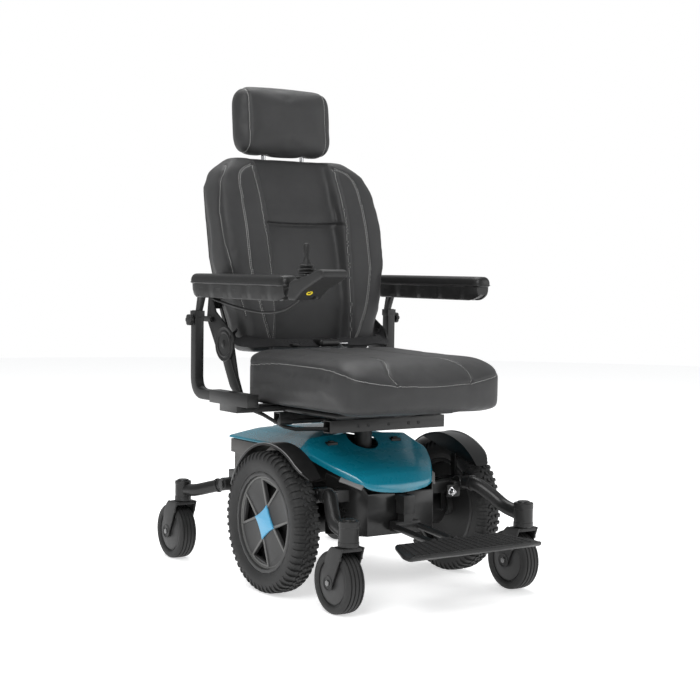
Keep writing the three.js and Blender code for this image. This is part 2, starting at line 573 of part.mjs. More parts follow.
function footplate() {
  const { x, rearX, y0, y1, rearZ, frontZ, thick, lip } = PLATE;
  const side = new THREE.Shape();
  side.moveTo(y1, rearZ);
  side.lineTo(y0 + 16, frontZ + 2);
  side.quadraticCurveTo(y0 + 6, frontZ + 1, y0 + 3, frontZ + lip);
  side.lineTo(y0, frontZ + lip - 2);
  side.quadraticCurveTo(y0 + 1, frontZ - thick + 4, y0 + 16, frontZ - thick);
  side.lineTo(y1, rearZ - thick);
  const plan = new THREE.Shape();
  plan.moveTo(-rearX + 12, y1);
  plan.quadraticCurveTo(-rearX, y1, -rearX - 4, y1 - 14);
  plan.lineTo(-x, y0 + 42);
  plan.quadraticCurveTo(-x, y0 + 14, -x + 40, y0 + 8);
  plan.quadraticCurveTo(0, y0 - 6, x - 40, y0 + 8);
  plan.quadraticCurveTo(x, y0 + 14, x, y0 + 42);
  plan.lineTo(rearX + 4, y1 - 14);
  plan.quadraticCurveTo(rearX, y1, rearX - 12, y1);
  const slab = plateX(side, -x, x, 4).intersect(plateZ(plan, 90, 200, 8));
  const slope = (rearZ - frontZ) / (y1 - y0);
  const ridges = [];
  for (let i = 0; i < TREAD.count; i += 1) {
    const y = y1 - TREAD.first - i * TREAD.pitch;
    const z = rearZ - slope * (y1 - y);
    ridges.push(block(-rearX + TREAD.first, rearX - TREAD.first, y - 3, y, z - 3, z + TREAD.high));
  }
  const { knuckleHalf, knuckleR, bore } = HINGE;
  const barrelled = rodX(-knuckleHalf, knuckleHalf, HINGE.y, HINGE.z, knuckleR, 12);
  const root = block(-knuckleHalf, knuckleHalf, y1 - 4, HINGE.y, HINGE.z - 8, HINGE.z + 8);
  const pinBore = rodX(-knuckleHalf - 1, knuckleHalf + 1, HINGE.y, HINGE.z, bore, 10);
  return cut(join(slab, ...ridges, barrelled, root), pinBore);
}

// ---------------------------------------------------------------------- seat
function seatPost() {
  const column = rodZ(0, POST.y, POST.bottom, POST.top, POST.r, 24);
  const pad = rodZ(0, POST.y, POST.top - POST.padThick, POST.top, POST.padR, 24);
  return join(column, pad);
}

function crossBeam(y0, y1) {
  const { x, z0, z1, wall } = BEAM;
  const bore = (a, b) => block(a, b, y0 + wall, y1 - wall, z0 + wall, z1 - wall);
  return cut(block(-x, x, y0, y1, z0, z1), bore(-x - 1, -x + 60), bore(x - 60, x + 1));
}

function seatSide() {
  const { x, size, hole, y0, y1, z, cap } = RECEIVER;
  const [half, inner] = [size / 2, hole / 2];
  const sleeve = block(x - half, x + half, y0, y1, z - half, z + half);
  const bore = block(x - inner, x + inner, y0 + cap, y1 + 1, z - inner, z + inner);
  const link = join(
    block(LINK.x, x + half - 2, LINK.y - LINK.half, LINK.y + LINK.half, PAN.z0 + 2, SEAT.z0 - GAP),
    block(x - half + 1, x + half - 2, LINK.y - LINK.half, LINK.y + LINK.half, PAN.z0 + 2, z - half + 1),
  );
  const plate = new THREE.Shape();
  plate.moveTo(150, 425);
  plate.lineTo(226, 425);
  plate.lineTo(268, 480);
  plate.lineTo(DISC.y + 30, DISC.z - 12);
  plate.absarc(DISC.y, DISC.z, 34, -0.3, Math.PI - 0.2);
  plate.lineTo(230, 500);
  plate.lineTo(196, 440);
  plate.lineTo(150, 438);
  const hinge = plateX(plate, DISC.x0, DISC.x1, 8);
  const pin = rodX(DISC.x0, DISC.outX1 + 4, DISC.y, DISC.z, DISC.pinR);
  const brace = tube(BRACE.path, BRACE.r, 8, 8);
  return join(cut(sleeve, bore), link, hinge, pin, brace);
}

function seatFrame() {
  const side = seatSide();
  const pan = roundedBlock(-PAN.x, PAN.x, PAN.y0, PAN.y1, PAN.z0, PAN.z1, 5, 1);
  const spine = block(-46, 46, BEAM.y1 - 1, REAR_BEAM.y0 + 1, BEAM.z0, BEAM.z0 + 12);
  const risers = [BEAM.y0 + 4, REAR_BEAM.y0 + 4].flatMap((y) =>
    [-140, -20, 100].map((x) => block(x, x + 40, y, y + 22, BEAM.z1 - 1, PAN.z0 + 1)));
  const beams = [crossBeam(BEAM.y0, BEAM.y1), crossBeam(REAR_BEAM.y0, REAR_BEAM.y1)];
  const boss = rod([SWIVEL.x, SWIVEL.y, BEAM.z0 + 4], [SWIVEL.x + 52, SWIVEL.y, BEAM.z0 + 4], 4, 8);
  return join(pan, ...beams, spine, ...risers, side, mirroredSolid(side), boss);
}

function swivelLever() {
  const { x, y, r, reach, knobR, knobLong, bossR } = SWIVEL;
  const z = SWIVEL.z;
  const shaft = rod([x - 8, y, z], [reach + knobLong - 4, y, z], r, 12);
  const knob = rod([reach + knobLong, y, z], [reach, y, z], knobR, 16);
  const hub = rod([x - 12, y, z], [x - 2, y, z], bossR, 16);
  return join(shaft, knob, hub);
}

function seatCushion() {
  const { x, y0, y1, z0, z1, corner, round } = SEAT;
  const plan = new THREE.Shape();
  plan.moveTo(-x + 20, y1);
  plan.quadraticCurveTo(-x, y1, -x, y1 - 24);
  plan.lineTo(-x, corner + 40);
  plan.quadraticCurveTo(-x, corner + 2, -x + 36, corner - 8);
  plan.quadraticCurveTo(0, y0 - 14, x - 36, corner - 8);
  plan.quadraticCurveTo(x, corner + 2, x, corner + 40);
  plan.lineTo(x, y1 - 24);
  plan.quadraticCurveTo(x, y1, x - 20, y1);
  const side = new THREE.Shape();
  side.moveTo(y1, z0);
  side.lineTo(y1, z1 - round);
  side.quadraticCurveTo(y1, z1, y1 - round, z1);
  side.lineTo(y0 + 70, z1 - 8);
  side.quadraticCurveTo(y0 + 2, z1 - 14, y0 - 4, z1 - 62);
  side.quadraticCurveTo(y0 - 2, z0 + 18, y0 + 26, z0);
  return plateZ(plan, z0, z1, 6).intersect(plateX(side, -x, x, 6));
}

// ------------------------------------------------------------------- backrest
function backSide(frontPoints, rearPoints) {
  return shapeOf([...frontPoints, ...rearPoints]);
}

function backFacing(inset) {
  const half = BACK_OUTLINE.map(([x, z]) => [Math.max(0, x - inset), z]);
  const mirrored = half.slice(1, -1).map(([x, z]) => [-x, z]).reverse();
  return shapeOf([...half, ...mirrored]);
}

function headPostHoles(radius) {
  const lean = Math.tan(rad(HEAD.leanDeg));
  return [-POSTS.x, POSTS.x].map((x) => rod(
    [x, POSTS.y + (POSTS.low - POSTS.z) * lean, POSTS.low],
    [x, POSTS.y + (POSTS.high - POSTS.z) * lean, POSTS.high],
    radius,
    12,
  ));
}

function backCushion() {
  const rear = BACK_REAR.map(([y, z]) => [y - BACK_SHELL - GAP * 2, z]);
  const body = plateX(backSide(BACK_FRONT, rear), -250, 250).intersect(plateY(backFacing(0), 200, 500));
  return cut(body, plateX(shapeOf(BACK_CENTRE), -112, 112), ...headPostHoles(POSTS.hole));
}

function backFrame() {
  const front = BACK_REAR.map(([y, z]) => [y - BACK_SHELL, z]).reverse();
  const panel = plateX(backSide(front, BACK_REAR), -250, 250).intersect(plateY(backFacing(6), 200, 500));
  const low = block(-300, 300, 200, 500, 500, 600);
  const ear = new THREE.Shape();
  ear.absarc(DISC.y, DISC.z, DISC.r, Math.PI * 0.72, Math.PI * 1.95);
  ear.lineTo(380, 640);
  ear.lineTo(384, 706);
  ear.lineTo(368, 706);
  ear.lineTo(340, 660);
  const ears = [];
  for (const side of [RIGHT, LEFT]) {
    const [a, b] = [side * DISC.outX, side * DISC.outX1].sort((p, q) => p - q);
    ears.push(plateX(ear, a, b, 10));
    const [c, d] = [side * 200, side * DISC.outX1].sort((p, q) => p - q);
    ears.push(block(c, d, 369, 381, 666, 704));
  }
  const bores = [RIGHT, LEFT].map((side) =>
    rodX(side * (DISC.outX - 3), side * (DISC.outX1 + 3), DISC.y, DISC.z, DISC.bore));
  return cut(join(cut(panel, low), ...ears), ...bores);
}

function reclineLever() {
  const { y, z, r, x0, x1, long, wide } = LATCH;
  const shape = new THREE.Shape();
  shape.absarc(y, z, wide / 2, Math.PI * 0.5, Math.PI * 1.5, false);
  shape.lineTo(y + long - wide / 2, z - wide / 2);
  shape.absarc(y + long - wide / 2, z, wide / 2, -Math.PI * 0.5, Math.PI * 0.5, false);
  return join(plateX(shape, -x1, -x0, 6), rodX(-x1 - 2, -x0 + GAP, y, z, r));
}

function headrestPosts() {
  const [a, b] = headPostHoles(POSTS.r);
  const y = POSTS.y + (POSTS.high - POSTS.z) * Math.tan(rad(HEAD.leanDeg));
  return join(a, b, rodX(-POSTS.x, POSTS.x, y, POSTS.high - 3, POSTS.r, 12));
}

function headrest() {
  const { x, thick, high, y, z0, round, leanDeg } = HEAD;
  const shape = new RoundedBoxGeometry(2 * x, thick, high, 2, round);
  shape.rotateX(-rad(leanDeg));
  const lean = Math.tan(rad(leanDeg));
  const centreZ = z0 + high / 2 + 4;
  shape.translate(0, y + (centreZ - z0) * lean, centreZ);
  const top = [POSTS.y + (POSTS.high - POSTS.z) * lean, POSTS.high - 3];
  const slot = rodX(-POSTS.x - POSTS.hole, POSTS.x + POSTS.hole, top[0], top[1], POSTS.hole, 12);
  return cut(toSolid(shape), ...headPostHoles(POSTS.hole), slot);
}

// ------------------------------------------------------------------- armrests
function armTube() {
  const { x, size, front, postY, bend, top, hole, holeLow } = JTUBE;
  const half = size / 2;
  const z = RECEIVER.z;
  const [cy, cz] = [postY - bend, z + bend];
  const shape = new THREE.Shape();
  shape.moveTo(front, z - half);
  shape.lineTo(cy, z - half);
  shape.absarc(cy, cz, bend + half, -Math.PI / 2, 0, false);
  shape.lineTo(postY + half, top);
  shape.lineTo(postY - half, top);
  shape.lineTo(postY - half, cz);
  shape.absarc(cy, cz, bend - half, 0, -Math.PI / 2, true);
  shape.lineTo(front, z + half);
  const bar = plateX(shape, x - half, x + half, 6);
  const inner = hole / 2;
  const screw = rodX(x + inner - 1, x + half + KNOB.neck, postY, KNOB.z, KNOB.neckR - 3, 12);
  const bore = block(x - inner, x + inner, postY - inner, postY + inner, holeLow, top + 1);
  return join(cut(bar, bore), screw.subtract(bore));
}

function armPost() {
  const { size, low, top, neck, pivotY, pivotZ, earR, pinR } = JPOST;
  const { x, postY } = JTUBE;
  const half = size / 2;
  const post = block(x - half, x + half, postY - half, postY + half, low, top);
  const shape = new THREE.Shape();
  shape.moveTo(postY + half, top - 12);
  shape.lineTo(postY + half, top);
  shape.lineTo(pivotY + earR, pivotZ);
  shape.absarc(pivotY, pivotZ, earR, 0, Math.PI, false);
  shape.lineTo(postY - half, top);
  shape.lineTo(postY - half, top - 12);
  const ear = plateX(shape, x - half, x - half + neck, 8);
  const pin = rodX(PAD.x0 + PAD.wall + GAP, PAD.x1 - PAD.wall - GAP, pivotY, pivotZ, pinR, 12);
  return join(post, ear, pin);
}

function armPad() {
  const { x0, x1, y0, y1, skinZ, top, low, wall, roof, round } = PAD;
  const skin = roundedBlock(x0, x1, y0, y1, skinZ - 4, top, round, 1);
  const side = new THREE.Shape();
  side.moveTo(y0 + 14, skinZ);
  side.lineTo(y0 + 14, 722);
  side.quadraticCurveTo(y0 + 20, 708, y0 + 60, 704);
  side.lineTo(250, low + 4);
  side.lineTo(y1 - 20, low);
  side.quadraticCurveTo(y1 - 6, low + 2, y1 - 6, 712);
  side.lineTo(y1 - 6, skinZ);
  const casing = plateX(side, x0 + 2, x1 - 2, 4);
  const hollow = block(x0 + wall, x1 - wall, y0 + 10, y1 + 2, low - 10, roof);
  return join(skin, cut(casing, hollow));
}

function clampKnob() {
  const { r, neckR, neck, head, z, lobes } = KNOB;
  const start = JTUBE.x + JTUBE.size / 2 + GAP;
  const y = JTUBE.postY;
  let knob = rodX(start + neck, start + neck + head, y, z, r, 18);
  for (let i = 0; i < lobes; i += 1) {
    const [u, v] = polar(r + 3, (i * 360) / lobes);
    knob = cut(knob, rodX(start, start + neck + head + 1, y + u, z + v, 6, 8));
  }
  const bore = rodX(start - 1, start + neck + 4, y, z, neckR - 3 + GAP, 12);
  return cut(join(knob, rodX(start, start + neck + 1, y, z, neckR, 16)), bore);
}

// ----------------------------------------------------------------- controller
function controllerShape(inset) {
  const side = new THREE.Shape();
  side.moveTo(CONTROL.y1, 701);
  side.lineTo(CONTROL.y1 - 4, 738);
  side.quadraticCurveTo(CONTROL.y1 - 6, 743, CONTROL.y1 - 12, 744);
  side.lineTo(-222, 758 - inset);
  side.lineTo(-262, 770 - inset);
  side.quadraticCurveTo(-284, 776 - inset, CONTROL.y0, 764 - inset);
  side.lineTo(CONTROL.y0 + 1, 755);
  side.lineTo(-215, 726);
  side.quadraticCurveTo(-196, 716, -176, 701);
  return side;
}

function controllerBody() {
  const { x0, x1 } = CONTROL;
  const body = plateX(controllerShape(0), x0, x1, 6);
  const collar = rodZ(STICK.x, STICK.y, 735, STICK.collarTop, STICK.wellR + 4, 18);
  const bar = block(STEM_BAR.x0, STEM_BAR.x1, CONTROL.y1 - 6, STEM_BAR.y1, STEM_BAR.z0, STEM_BAR.z1);
  const well = rodZ(STICK.x, STICK.y, STICK.wellLow, STICK.collarTop + 1, STICK.wellR, 18);
  const pivot = rodX(STICK.x - STICK.wellR - 1, STICK.x - GIMBAL.r - 1, STICK.y, GIMBAL.z, GIMBAL.stubR, 10);
  const wells = BUTTON.xs.map((x) => rodZ(x, BUTTON.y, topZ(BUTTON.y) - BUTTON.deep, 790, BUTTON.r + GAP, 10));
  const spigot = rodZ(DIAL.x, DIAL.y, 745, topZ(DIAL.y) + 6, 2, 10);
  const socket = rod([SOCKET.x, SOCKET.y - 20, SOCKET.z - 11], [SOCKET.x, SOCKET.y, SOCKET.z], SOCKET.r, 14);
  const shell = cut(join(body, collar, bar), well, ...wells, socket);
  return join(shell, pivot, spigot);
}

// Height of the controller's sloping top at a distance along Y.
function topZ(y) {
  return 744 + (CONTROL.y1 - 12 - y) * Math.tan(rad(TOP_SLOPE_DEG));
}

function joystickGimbal() {
  const { x, y } = STICK;
  const { z, r, holeR, half, stubR } = GIMBAL;
  const ring = rodZ(x, y, z - half, z + half, r, 20);
  const hole = rodZ(x, y, z - half - 1, z + half + 1, holeR, 20);
  const dimple = rodX(x - r - 2, x - r + 1, y, z, stubR + GAP, 10);
  return cut(ring, hole, dimple);
}

function joystick() {
  const { x, y, bootR, knobR, top } = STICK;
  const shaft = [[0, 736], [3, 736], [3, 761]];
  const bellows = [[bootR, 761], [bootR + 1, 763], [bootR - 4, 766], [bootR, 769], [bootR - 4, 772], [bootR, 775]];
  const dome = [[bootR - 3, 782], [knobR + 3, 788]];
  const knob = [[knobR, 794], [knobR, top - 8], [knobR - 3, top - 2], [0, top]];
  return turnedZ([...shaft, ...bellows, ...dome, ...knob], x, y, 0, 14);
}

function speedDial() {
  const low = topZ(DIAL.y) + 1;
  const knob = rodZ(DIAL.x, DIAL.y, low, low + DIAL.high, DIAL.r, 18);
  return cut(knob, rodZ(DIAL.x, DIAL.y, low - 1, low + 6, 2 + GAP, 10));
}

function pushButton(x) {
  const low = topZ(BUTTON.y) - BUTTON.deep + 2.5;
  return rodZ(x, BUTTON.y, low, topZ(BUTTON.y) + 2.5, BUTTON.r, 10);
}

// ------------------------------------------------------------------------ belt
function beltHalf(inner) {
  const { y0, y1, z0, z1, out } = BELT;
  const across = block(inner, out + 1, y0, y1, z0, z1);
  const back = block(out, BELT_TAB.x1, y0, BELT_TAB.y1, z0, z1);
  const up = block(BELT_TAB.x0, BELT_TAB.x1, BELT_TAB.y0, BELT_TAB.y1, z0, BELT_TAB.top);
  return join(across, back, up);
}

function beltBuckle() {
  const { x0, x1, y0, y1, z0, z1, round } = BUCKLE;
  const { y, half, slotHalf } = RELEASE;
  const body = roundedBlock(x0, x1, y0, y1, z0, z1, round, 1);
  const well = block(RELEASE.x0, RELEASE.x1, y - half, y + half, z1 - 6, z1 + 1);
  const mouth = block(x1 - 5, x1 + 1, y - slotHalf, y + slotHalf, z0 + 4, z0 + 9);
  return cut(body, well, mouth);
}

function buckleButton() {
  const { x0, x1, y, half } = RELEASE;
  const side = half - GAP;
  return block(x0 + GAP, x1 - GAP, y - side, y + side, BUCKLE.z1 - 2.5, BUCKLE.z1 + 1.5);
}

function beltLeft() {
  const tongue = block(TONGUE.x0, TONGUE.x1, TONGUE.y0, TONGUE.y1, BELT.z0, BELT.z1 + 1);
  return join(beltHalf(TONGUE.x1 - 2), tongue);
}

// ---------------------------------------------------------------------- build
add('chassis_frame', chassis(), BLACK_PAINT());
add('battery_tray', batteryTray(), GREY_PLASTIC());
add('battery_pack', batteryPack(), BLACK_PLASTIC());
add('control_module', controlModule(), BLACK_PLASTIC());
add('rear_shroud', rearShroud(), TEAL());
add('front_shroud', frontShroud(), TEAL());
add('front_lower_shell', frontLowerShell(), BLACK_PLASTIC());
addPair('fender', fender(), BLACK_PLASTIC);
addPair('gear_motor', gearMotor(), BLACK_PAINT);
addPair('freewheel_lever', freewheelLever(), SILVER);
addPair('drive_tyre', driveTyre(), RUBBER);
addPair('drive_rim', driveRim(), SILVER);
addPair('front_arm', frontArm(), BLACK_PAINT);
addPair('rear_arm', rearArm(), BLACK_PAINT);
addPair('front_fork', fork(FRONT_CASTER), BLACK_PAINT);
addPair('rear_fork', fork(REAR_CASTER), BLACK_PAINT);
addPair('front_caster_wheel', casterWheel(FRONT_CASTER), RUBBER);
addPair('rear_caster_wheel', casterWheel(REAR_CASTER), RUBBER);
add('footplate_hanger', footplateHanger(), BLACK_PAINT());
add('footplate', footplate(), BLACK_PLASTIC());
add('seat_post', seatPost(), SILVER());
add('seat_frame', seatFrame(), BLACK_PAINT());
add('swivel_lever', swivelLever(), BLACK_PAINT());
add('seat_cushion', seatCushion(), VINYL());
add('back_frame', backFrame(), BLACK_PAINT());
add('back_cushion', backCushion(), VINYL());
add('recline_lever', reclineLever(), BLACK_PLASTIC());
add('headrest_posts', headrestPosts(), CHROME());
add('headrest', headrest(), VINYL());
addPair('arm_tube', armTube(), BLACK_PAINT);
addPair('arm_post', armPost(), BLACK_PAINT);
addPair('arm_pad', armPad(), BLACK_PLASTIC);
addPair('arm_knob', clampKnob(), BLACK_PLASTIC);
add('controller_body', controllerBody(), BLACK_PLASTIC());
add('joystick_gimbal', joystickGimbal(), SILVER());
add('joystick', joystick(), BLACK_PLASTIC());
add('speed_dial', speedDial(), CHROME());
add('power_button', pushButton(BUTTON.xs[0]), SILVER());
add('horn_button', pushButton(BUTTON.xs[1]), SILVER());
add('controller_cable', tube(CABLE.path, CABLE.r, CABLE.sides, 26), RUBBER());
add('lap_belt_right', beltHalf(-BUCKLE.x0 + GAP), WEBBING(), RIGHT);
add('lap_belt_left', beltLeft(), WEBBING());
add('belt_buckle', beltBuckle(), BLACK_PLASTIC());
add('buckle_button', buckleButton(), finish(0xa01818, 0.4, 0.0));

export default chair;
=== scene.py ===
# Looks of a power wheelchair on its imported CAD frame: metres, +Z up, the chair faces -Y,
# and the sitter's right, with the joystick, is -X. Lengths in calls are in millimetres,
# with y counted from the drive axle, and at() turns them into the frame.
import math

import bmesh
import bpy
import numpy as np
from mathutils import Matrix, Vector
from mathutils.bvhtree import BVHTree
from mathutils.kdtree import KDTree


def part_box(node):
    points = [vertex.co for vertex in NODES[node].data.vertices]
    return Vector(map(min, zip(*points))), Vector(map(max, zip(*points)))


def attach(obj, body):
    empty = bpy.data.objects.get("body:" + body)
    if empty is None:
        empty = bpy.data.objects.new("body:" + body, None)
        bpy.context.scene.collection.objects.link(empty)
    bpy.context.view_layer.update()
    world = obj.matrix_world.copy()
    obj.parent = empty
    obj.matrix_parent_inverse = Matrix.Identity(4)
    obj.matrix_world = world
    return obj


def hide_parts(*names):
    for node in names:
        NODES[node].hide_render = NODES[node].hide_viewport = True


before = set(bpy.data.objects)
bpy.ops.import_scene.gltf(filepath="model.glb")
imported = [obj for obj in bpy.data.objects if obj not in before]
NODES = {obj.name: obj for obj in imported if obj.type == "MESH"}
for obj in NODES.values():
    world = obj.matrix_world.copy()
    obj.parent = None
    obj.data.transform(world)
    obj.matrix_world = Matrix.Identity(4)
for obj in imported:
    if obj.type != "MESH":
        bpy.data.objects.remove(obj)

SCENE = bpy.context.scene
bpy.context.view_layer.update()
SIDES = (("right", -1), ("left", 1))


def middle(node):
    low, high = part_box(node)
    return (Vector(low) + Vector(high)) / 2


AXLE = middle("drive_tyre_right")


def at(x, y, z):
    return Vector((x / 1000, AXLE.y + y / 1000, z / 1000))


# ------------------------------------------------------------------ camera and light
# The photo's camera, solved from the chair's symmetry: millimetres from the axle, and degrees.
CAMERA_PLACE = (-2112.7, -3006.6, 777.7)
CAMERA_AIM = (-50.8, 0, 574.8)
CAMERA_ROLL = 0.7
CAMERA_LENS = 76.62

# Each light's name, place and size in metres, and watts.
LIGHTS = (
    ("key", (-3.2, -2.6, 3.6), 2.4, 135),
    ("fill", (3.4, -3.0, 1.8), 3.0, 55),
    ("top", (0.3, 1.2, 4.2), 3.2, 120),
)
AROUND = 0.42  # strength of the soft light from all sides
FLOOR_GLOW = 0.55  # brings the floor up to the white of the backdrop


def make_camera():
    place = at(*CAMERA_PLACE)
    ahead = (at(*CAMERA_AIM) - place).normalized()
    level = ahead.cross(Vector((0, 0, 1))).normalized()
    roll = math.radians(CAMERA_ROLL)
    right = level * math.cos(roll) + level.cross(ahead) * math.sin(roll)
    up = right.cross(ahead)
    camera = bpy.data.objects.new("camera", bpy.data.cameras.new("camera"))
    camera.matrix_world = Matrix((right, up, -ahead)).transposed().to_4x4()
    camera.matrix_world.translation = place
    camera.data.lens = CAMERA_LENS
    SCENE.collection.objects.link(camera)
    SCENE.camera = camera


def area_light(name, place, size, watts):
    light = bpy.data.objects.new(name, bpy.data.lights.new(name, "AREA"))
    light.data.size = size
    light.data.energy = watts
    light.location = place
    light.rotation_euler = (Vector((0, 0, 0.5)) - light.location).to_track_quat("-Z", "Y").to_euler()
    SCENE.collection.objects.link(light)


def make_studio():
    for name, place, size, watts in LIGHTS:
        area_light(name, Vector(place), size, watts)
    world = bpy.data.worlds.new("studio")
    world.use_nodes = True
    tree = world.node_tree
    soft = tree.nodes["Background"]
    soft.inputs["Color"].default_value = (0.95, 0.96, 0.97, 1)
    soft.inputs["Strength"].default_value = AROUND
    backdrop = tree.nodes.new("ShaderNodeBackground")
    backdrop.inputs["Color"].default_value = (1, 1, 1, 1)
    mix = tree.nodes.new("ShaderNodeMixShader")
    tree.links.new(tree.nodes.new("ShaderNodeLightPath").outputs["Is Camera Ray"], mix.inputs["Fac"])
    tree.links.new(soft.outputs[0], mix.inputs[1])
    tree.links.new(backdrop.outputs[0], mix.inputs[2])
    tree.links.new(mix.outputs[0], tree.nodes["World Output"].inputs["Surface"])
    SCENE.world = world
    SCENE.view_settings.view_transform = "Standard"


# ---------------------------------------------------------------------------- materials
def look(name, color, rough, metal=0.0, spread=0.12, patch=14, grain=(900, 0.12, 0.0002), cells=None,
         wave=None, coat=0.0, worn=None, sheen=0.0, shine=0.35):
    """A procedural finish: drifting colour and roughness, a grained surface, and edges worn paler."""
    material = bpy.data.materials.new(name)
    material.use_nodes = True
    tree = material.node_tree
    surface = tree.nodes["Principled BSDF"]
    surface.inputs["Metallic"].default_value = metal
    surface.inputs["Specular IOR Level"].default_value = shine
    surface.inputs["Coat Weight"].default_value = coat
    surface.inputs["Coat Roughness"].default_value = 0.12
    surface.inputs["Sheen Weight"].default_value = sheen
    place = tree.nodes.new("ShaderNodeTexCoord").outputs["Object"]

    def texture(kind, scale, detail=4.0):
        node = tree.nodes.new(kind)
        node.inputs["Scale"].default_value = scale
        if "Detail" in node.inputs:
            node.inputs["Detail"].default_value = detail
        tree.links.new(place, node.inputs["Vector"])
        return node

    drift = texture("ShaderNodeTexNoise", patch)
    speck = texture("ShaderNodeTexNoise", grain[0] / 3, 2.0)
    both = tree.nodes.new("ShaderNodeMath")
    both.operation = "MULTIPLY_ADD"
    both.inputs[1].default_value = 0.35
    tree.links.new(speck.outputs["Fac"], both.inputs[0])
    tree.links.new(drift.outputs["Fac"], both.inputs[2])
    ramp = tree.nodes.new("ShaderNodeValToRGB")
    ramp.color_ramp.elements[0].position = 0.4
    ramp.color_ramp.elements[1].position = 1.0
    ramp.color_ramp.elements[0].color = (*[c * (1 - spread) for c in color], 1)
    ramp.color_ramp.elements[1].color = (*[min(1.0, c * (1 + spread) + spread * 0.01) for c in color], 1)
    tree.links.new(both.outputs[0], ramp.inputs["Fac"])
    shade = ramp.outputs["Color"]
    if worn:
        edge = tree.nodes.new("ShaderNodeNewGeometry")
        sharp = tree.nodes.new("ShaderNodeMapRange")
        sharp.inputs["From Min"].default_value = 0.56
        sharp.inputs["From Max"].default_value = 0.66
        sharp.inputs["To Max"].default_value = 0.5
        tree.links.new(edge.outputs["Pointiness"], sharp.inputs["Value"])
        mix = tree.nodes.new("ShaderNodeMix")
        mix.data_type = "RGBA"
        mix.inputs["B"].default_value = (*worn, 1)
        tree.links.new(sharp.outputs["Result"], mix.inputs["Factor"])
        tree.links.new(shade, mix.inputs["A"])
        shade = mix.outputs["Result"]
    tree.links.new(shade, surface.inputs["Base Color"])
    gloss = tree.nodes.new("ShaderNodeMapRange")
    gloss.inputs["To Min"].default_value = max(0.04, rough - 0.07)
    gloss.inputs["To Max"].default_value = rough + 0.07
    tree.links.new(texture("ShaderNodeTexNoise", patch * 2.3).outputs["Fac"], gloss.inputs["Value"])
    tree.links.new(gloss.outputs["Result"], surface.inputs["Roughness"])

    normal = None
    reliefs = [("ShaderNodeTexNoise", "Fac", *grain)]
    if cells:
        reliefs.append(("ShaderNodeTexVoronoi", "Distance", *cells))
    if wave:
        reliefs.append(("ShaderNodeTexWave", "Fac", *wave))
    for kind, output, scale, strength, depth in reliefs:
        bump = tree.nodes.new("ShaderNodeBump")
        bump.inputs["Strength"].default_value = strength
        bump.inputs["Distance"].default_value = depth
        tree.links.new(texture(kind, scale).outputs[output], bump.inputs["Height"])
        if normal:
            tree.links.new(normal, bump.inputs["Normal"])
        normal = bump.outputs["Normal"]
    tree.links.new(normal, surface.inputs["Normal"])
    return material


def grey(level):
    return level, level, level


def make_looks():
    pale = grey(0.14)
    looks = {
        "paint": look("satin_black_paint", grey(0.011), 0.38, worn=grey(0.03), coat=0.1),
        "cast": look("cast_black", grey(0.013), 0.45, grain=(700, 0.3, 0.0003), worn=grey(0.035)),
        "plastic": look("black_moulding", grey(0.011), 0.45, grain=(1500, 0.35, 0.0002), worn=grey(0.03)),
        "gloss": look("shiny_black_moulding", grey(0.008), 0.3, grain=(900, 0.05, 0.0001), coat=0.15),
        "grey": look("grey_moulding", grey(0.20), 0.45, grain=(1300, 0.4, 0.0003), worn=pale),
        "teal": look("teal_cover", (0.0035, 0.2, 0.29), 0.28, spread=0.05, grain=(300, 0.03, 0.0002),
                     coat=0.45, shine=0.5),
        "box": look("box_grey_moulding", (0.075, 0.072, 0.068), 0.5, grain=(1300, 0.4, 0.0003), worn=pale),
        "skin": look("armrest_skin", grey(0.012), 0.36, patch=9, grain=(260, 0.2, 0.0005),
                     cells=(900, 0.25, 0.0003), worn=grey(0.03)),
        "case": look("controller_moulding", grey(0.016), 0.5, grain=(1700, 0.5, 0.0002),
                     worn=grey(0.07)),
        "blue": look("hub_blue", (0.07, 0.34, 0.56), 0.35, spread=0.1, coat=0.4),
        "panel": look("wheel_cover_grey", grey(0.035), 0.45, grain=(1200, 0.3, 0.0002), worn=grey(0.06)),
        "rib": look("wheel_rib_grey", (0.11, 0.11, 0.107), 0.38, 0.2, grain=(900, 0.2, 0.0002), worn=grey(0.15)),
        "tyre": look("grey_tyre_rubber", grey(0.02), 0.6, spread=0.2, grain=(700, 0.5, 0.0005), worn=grey(0.04)),
        "tread": look("tread_rubber", grey(0.014), 0.6, spread=0.25, grain=(600, 0.5, 0.0005), worn=grey(0.04)),
        "vinyl": look("charcoal_vinyl", (0.026, 0.026, 0.0265), 0.5, spread=0.14, patch=9, grain=(160, 0.25, 0.0007),
                      cells=(650, 0.35, 0.0005), worn=(0.045, 0.045, 0.046), sheen=0.05),
        "thread": look("grey_thread", (0.42, 0.42, 0.41), 0.7, spread=0.2, wave=(900, 0.4, 0.0003)),
        "webbing": look("black_webbing", (0.014, 0.014, 0.015), 0.72, wave=(420, 0.8, 0.0008),
                        grain=(1400, 0.6, 0.0004)),
        "rubber": look("black_rubber", grey(0.012), 0.5, grain=(1100, 0.4, 0.0003), worn=grey(0.03)),
        "chrome": look("bright_plating", (0.62, 0.62, 0.63), 0.16, 1.0, spread=0.05, grain=(500, 0.03, 0.0001)),
        "steel": look("zinc_steel", grey(0.2), 0.36, 1.0, grain=(1200, 0.2, 0.0002), worn=grey(0.5)),
        "yellow": look("yellow_ring", (0.75, 0.58, 0.02), 0.35),
        "floor": look("pale_floor", grey(0.93), 0.7, spread=0.01, patch=2, grain=(120, 0.05, 0.0003)),
    }
    floor = looks["floor"].node_tree.nodes["Principled BSDF"]
    floor.inputs["Emission Color"].default_value = (1, 1, 1, 1)
    floor.inputs["Emission Strength"].default_value = FLOOR_GLOW
    return looks


# ------------------------------------------------------------------------- mesh helpers
def new_piece(name, mesh):
    piece = bpy.data.objects.new(name, mesh)
    SCENE.collection.objects.link(piece)
    return piece


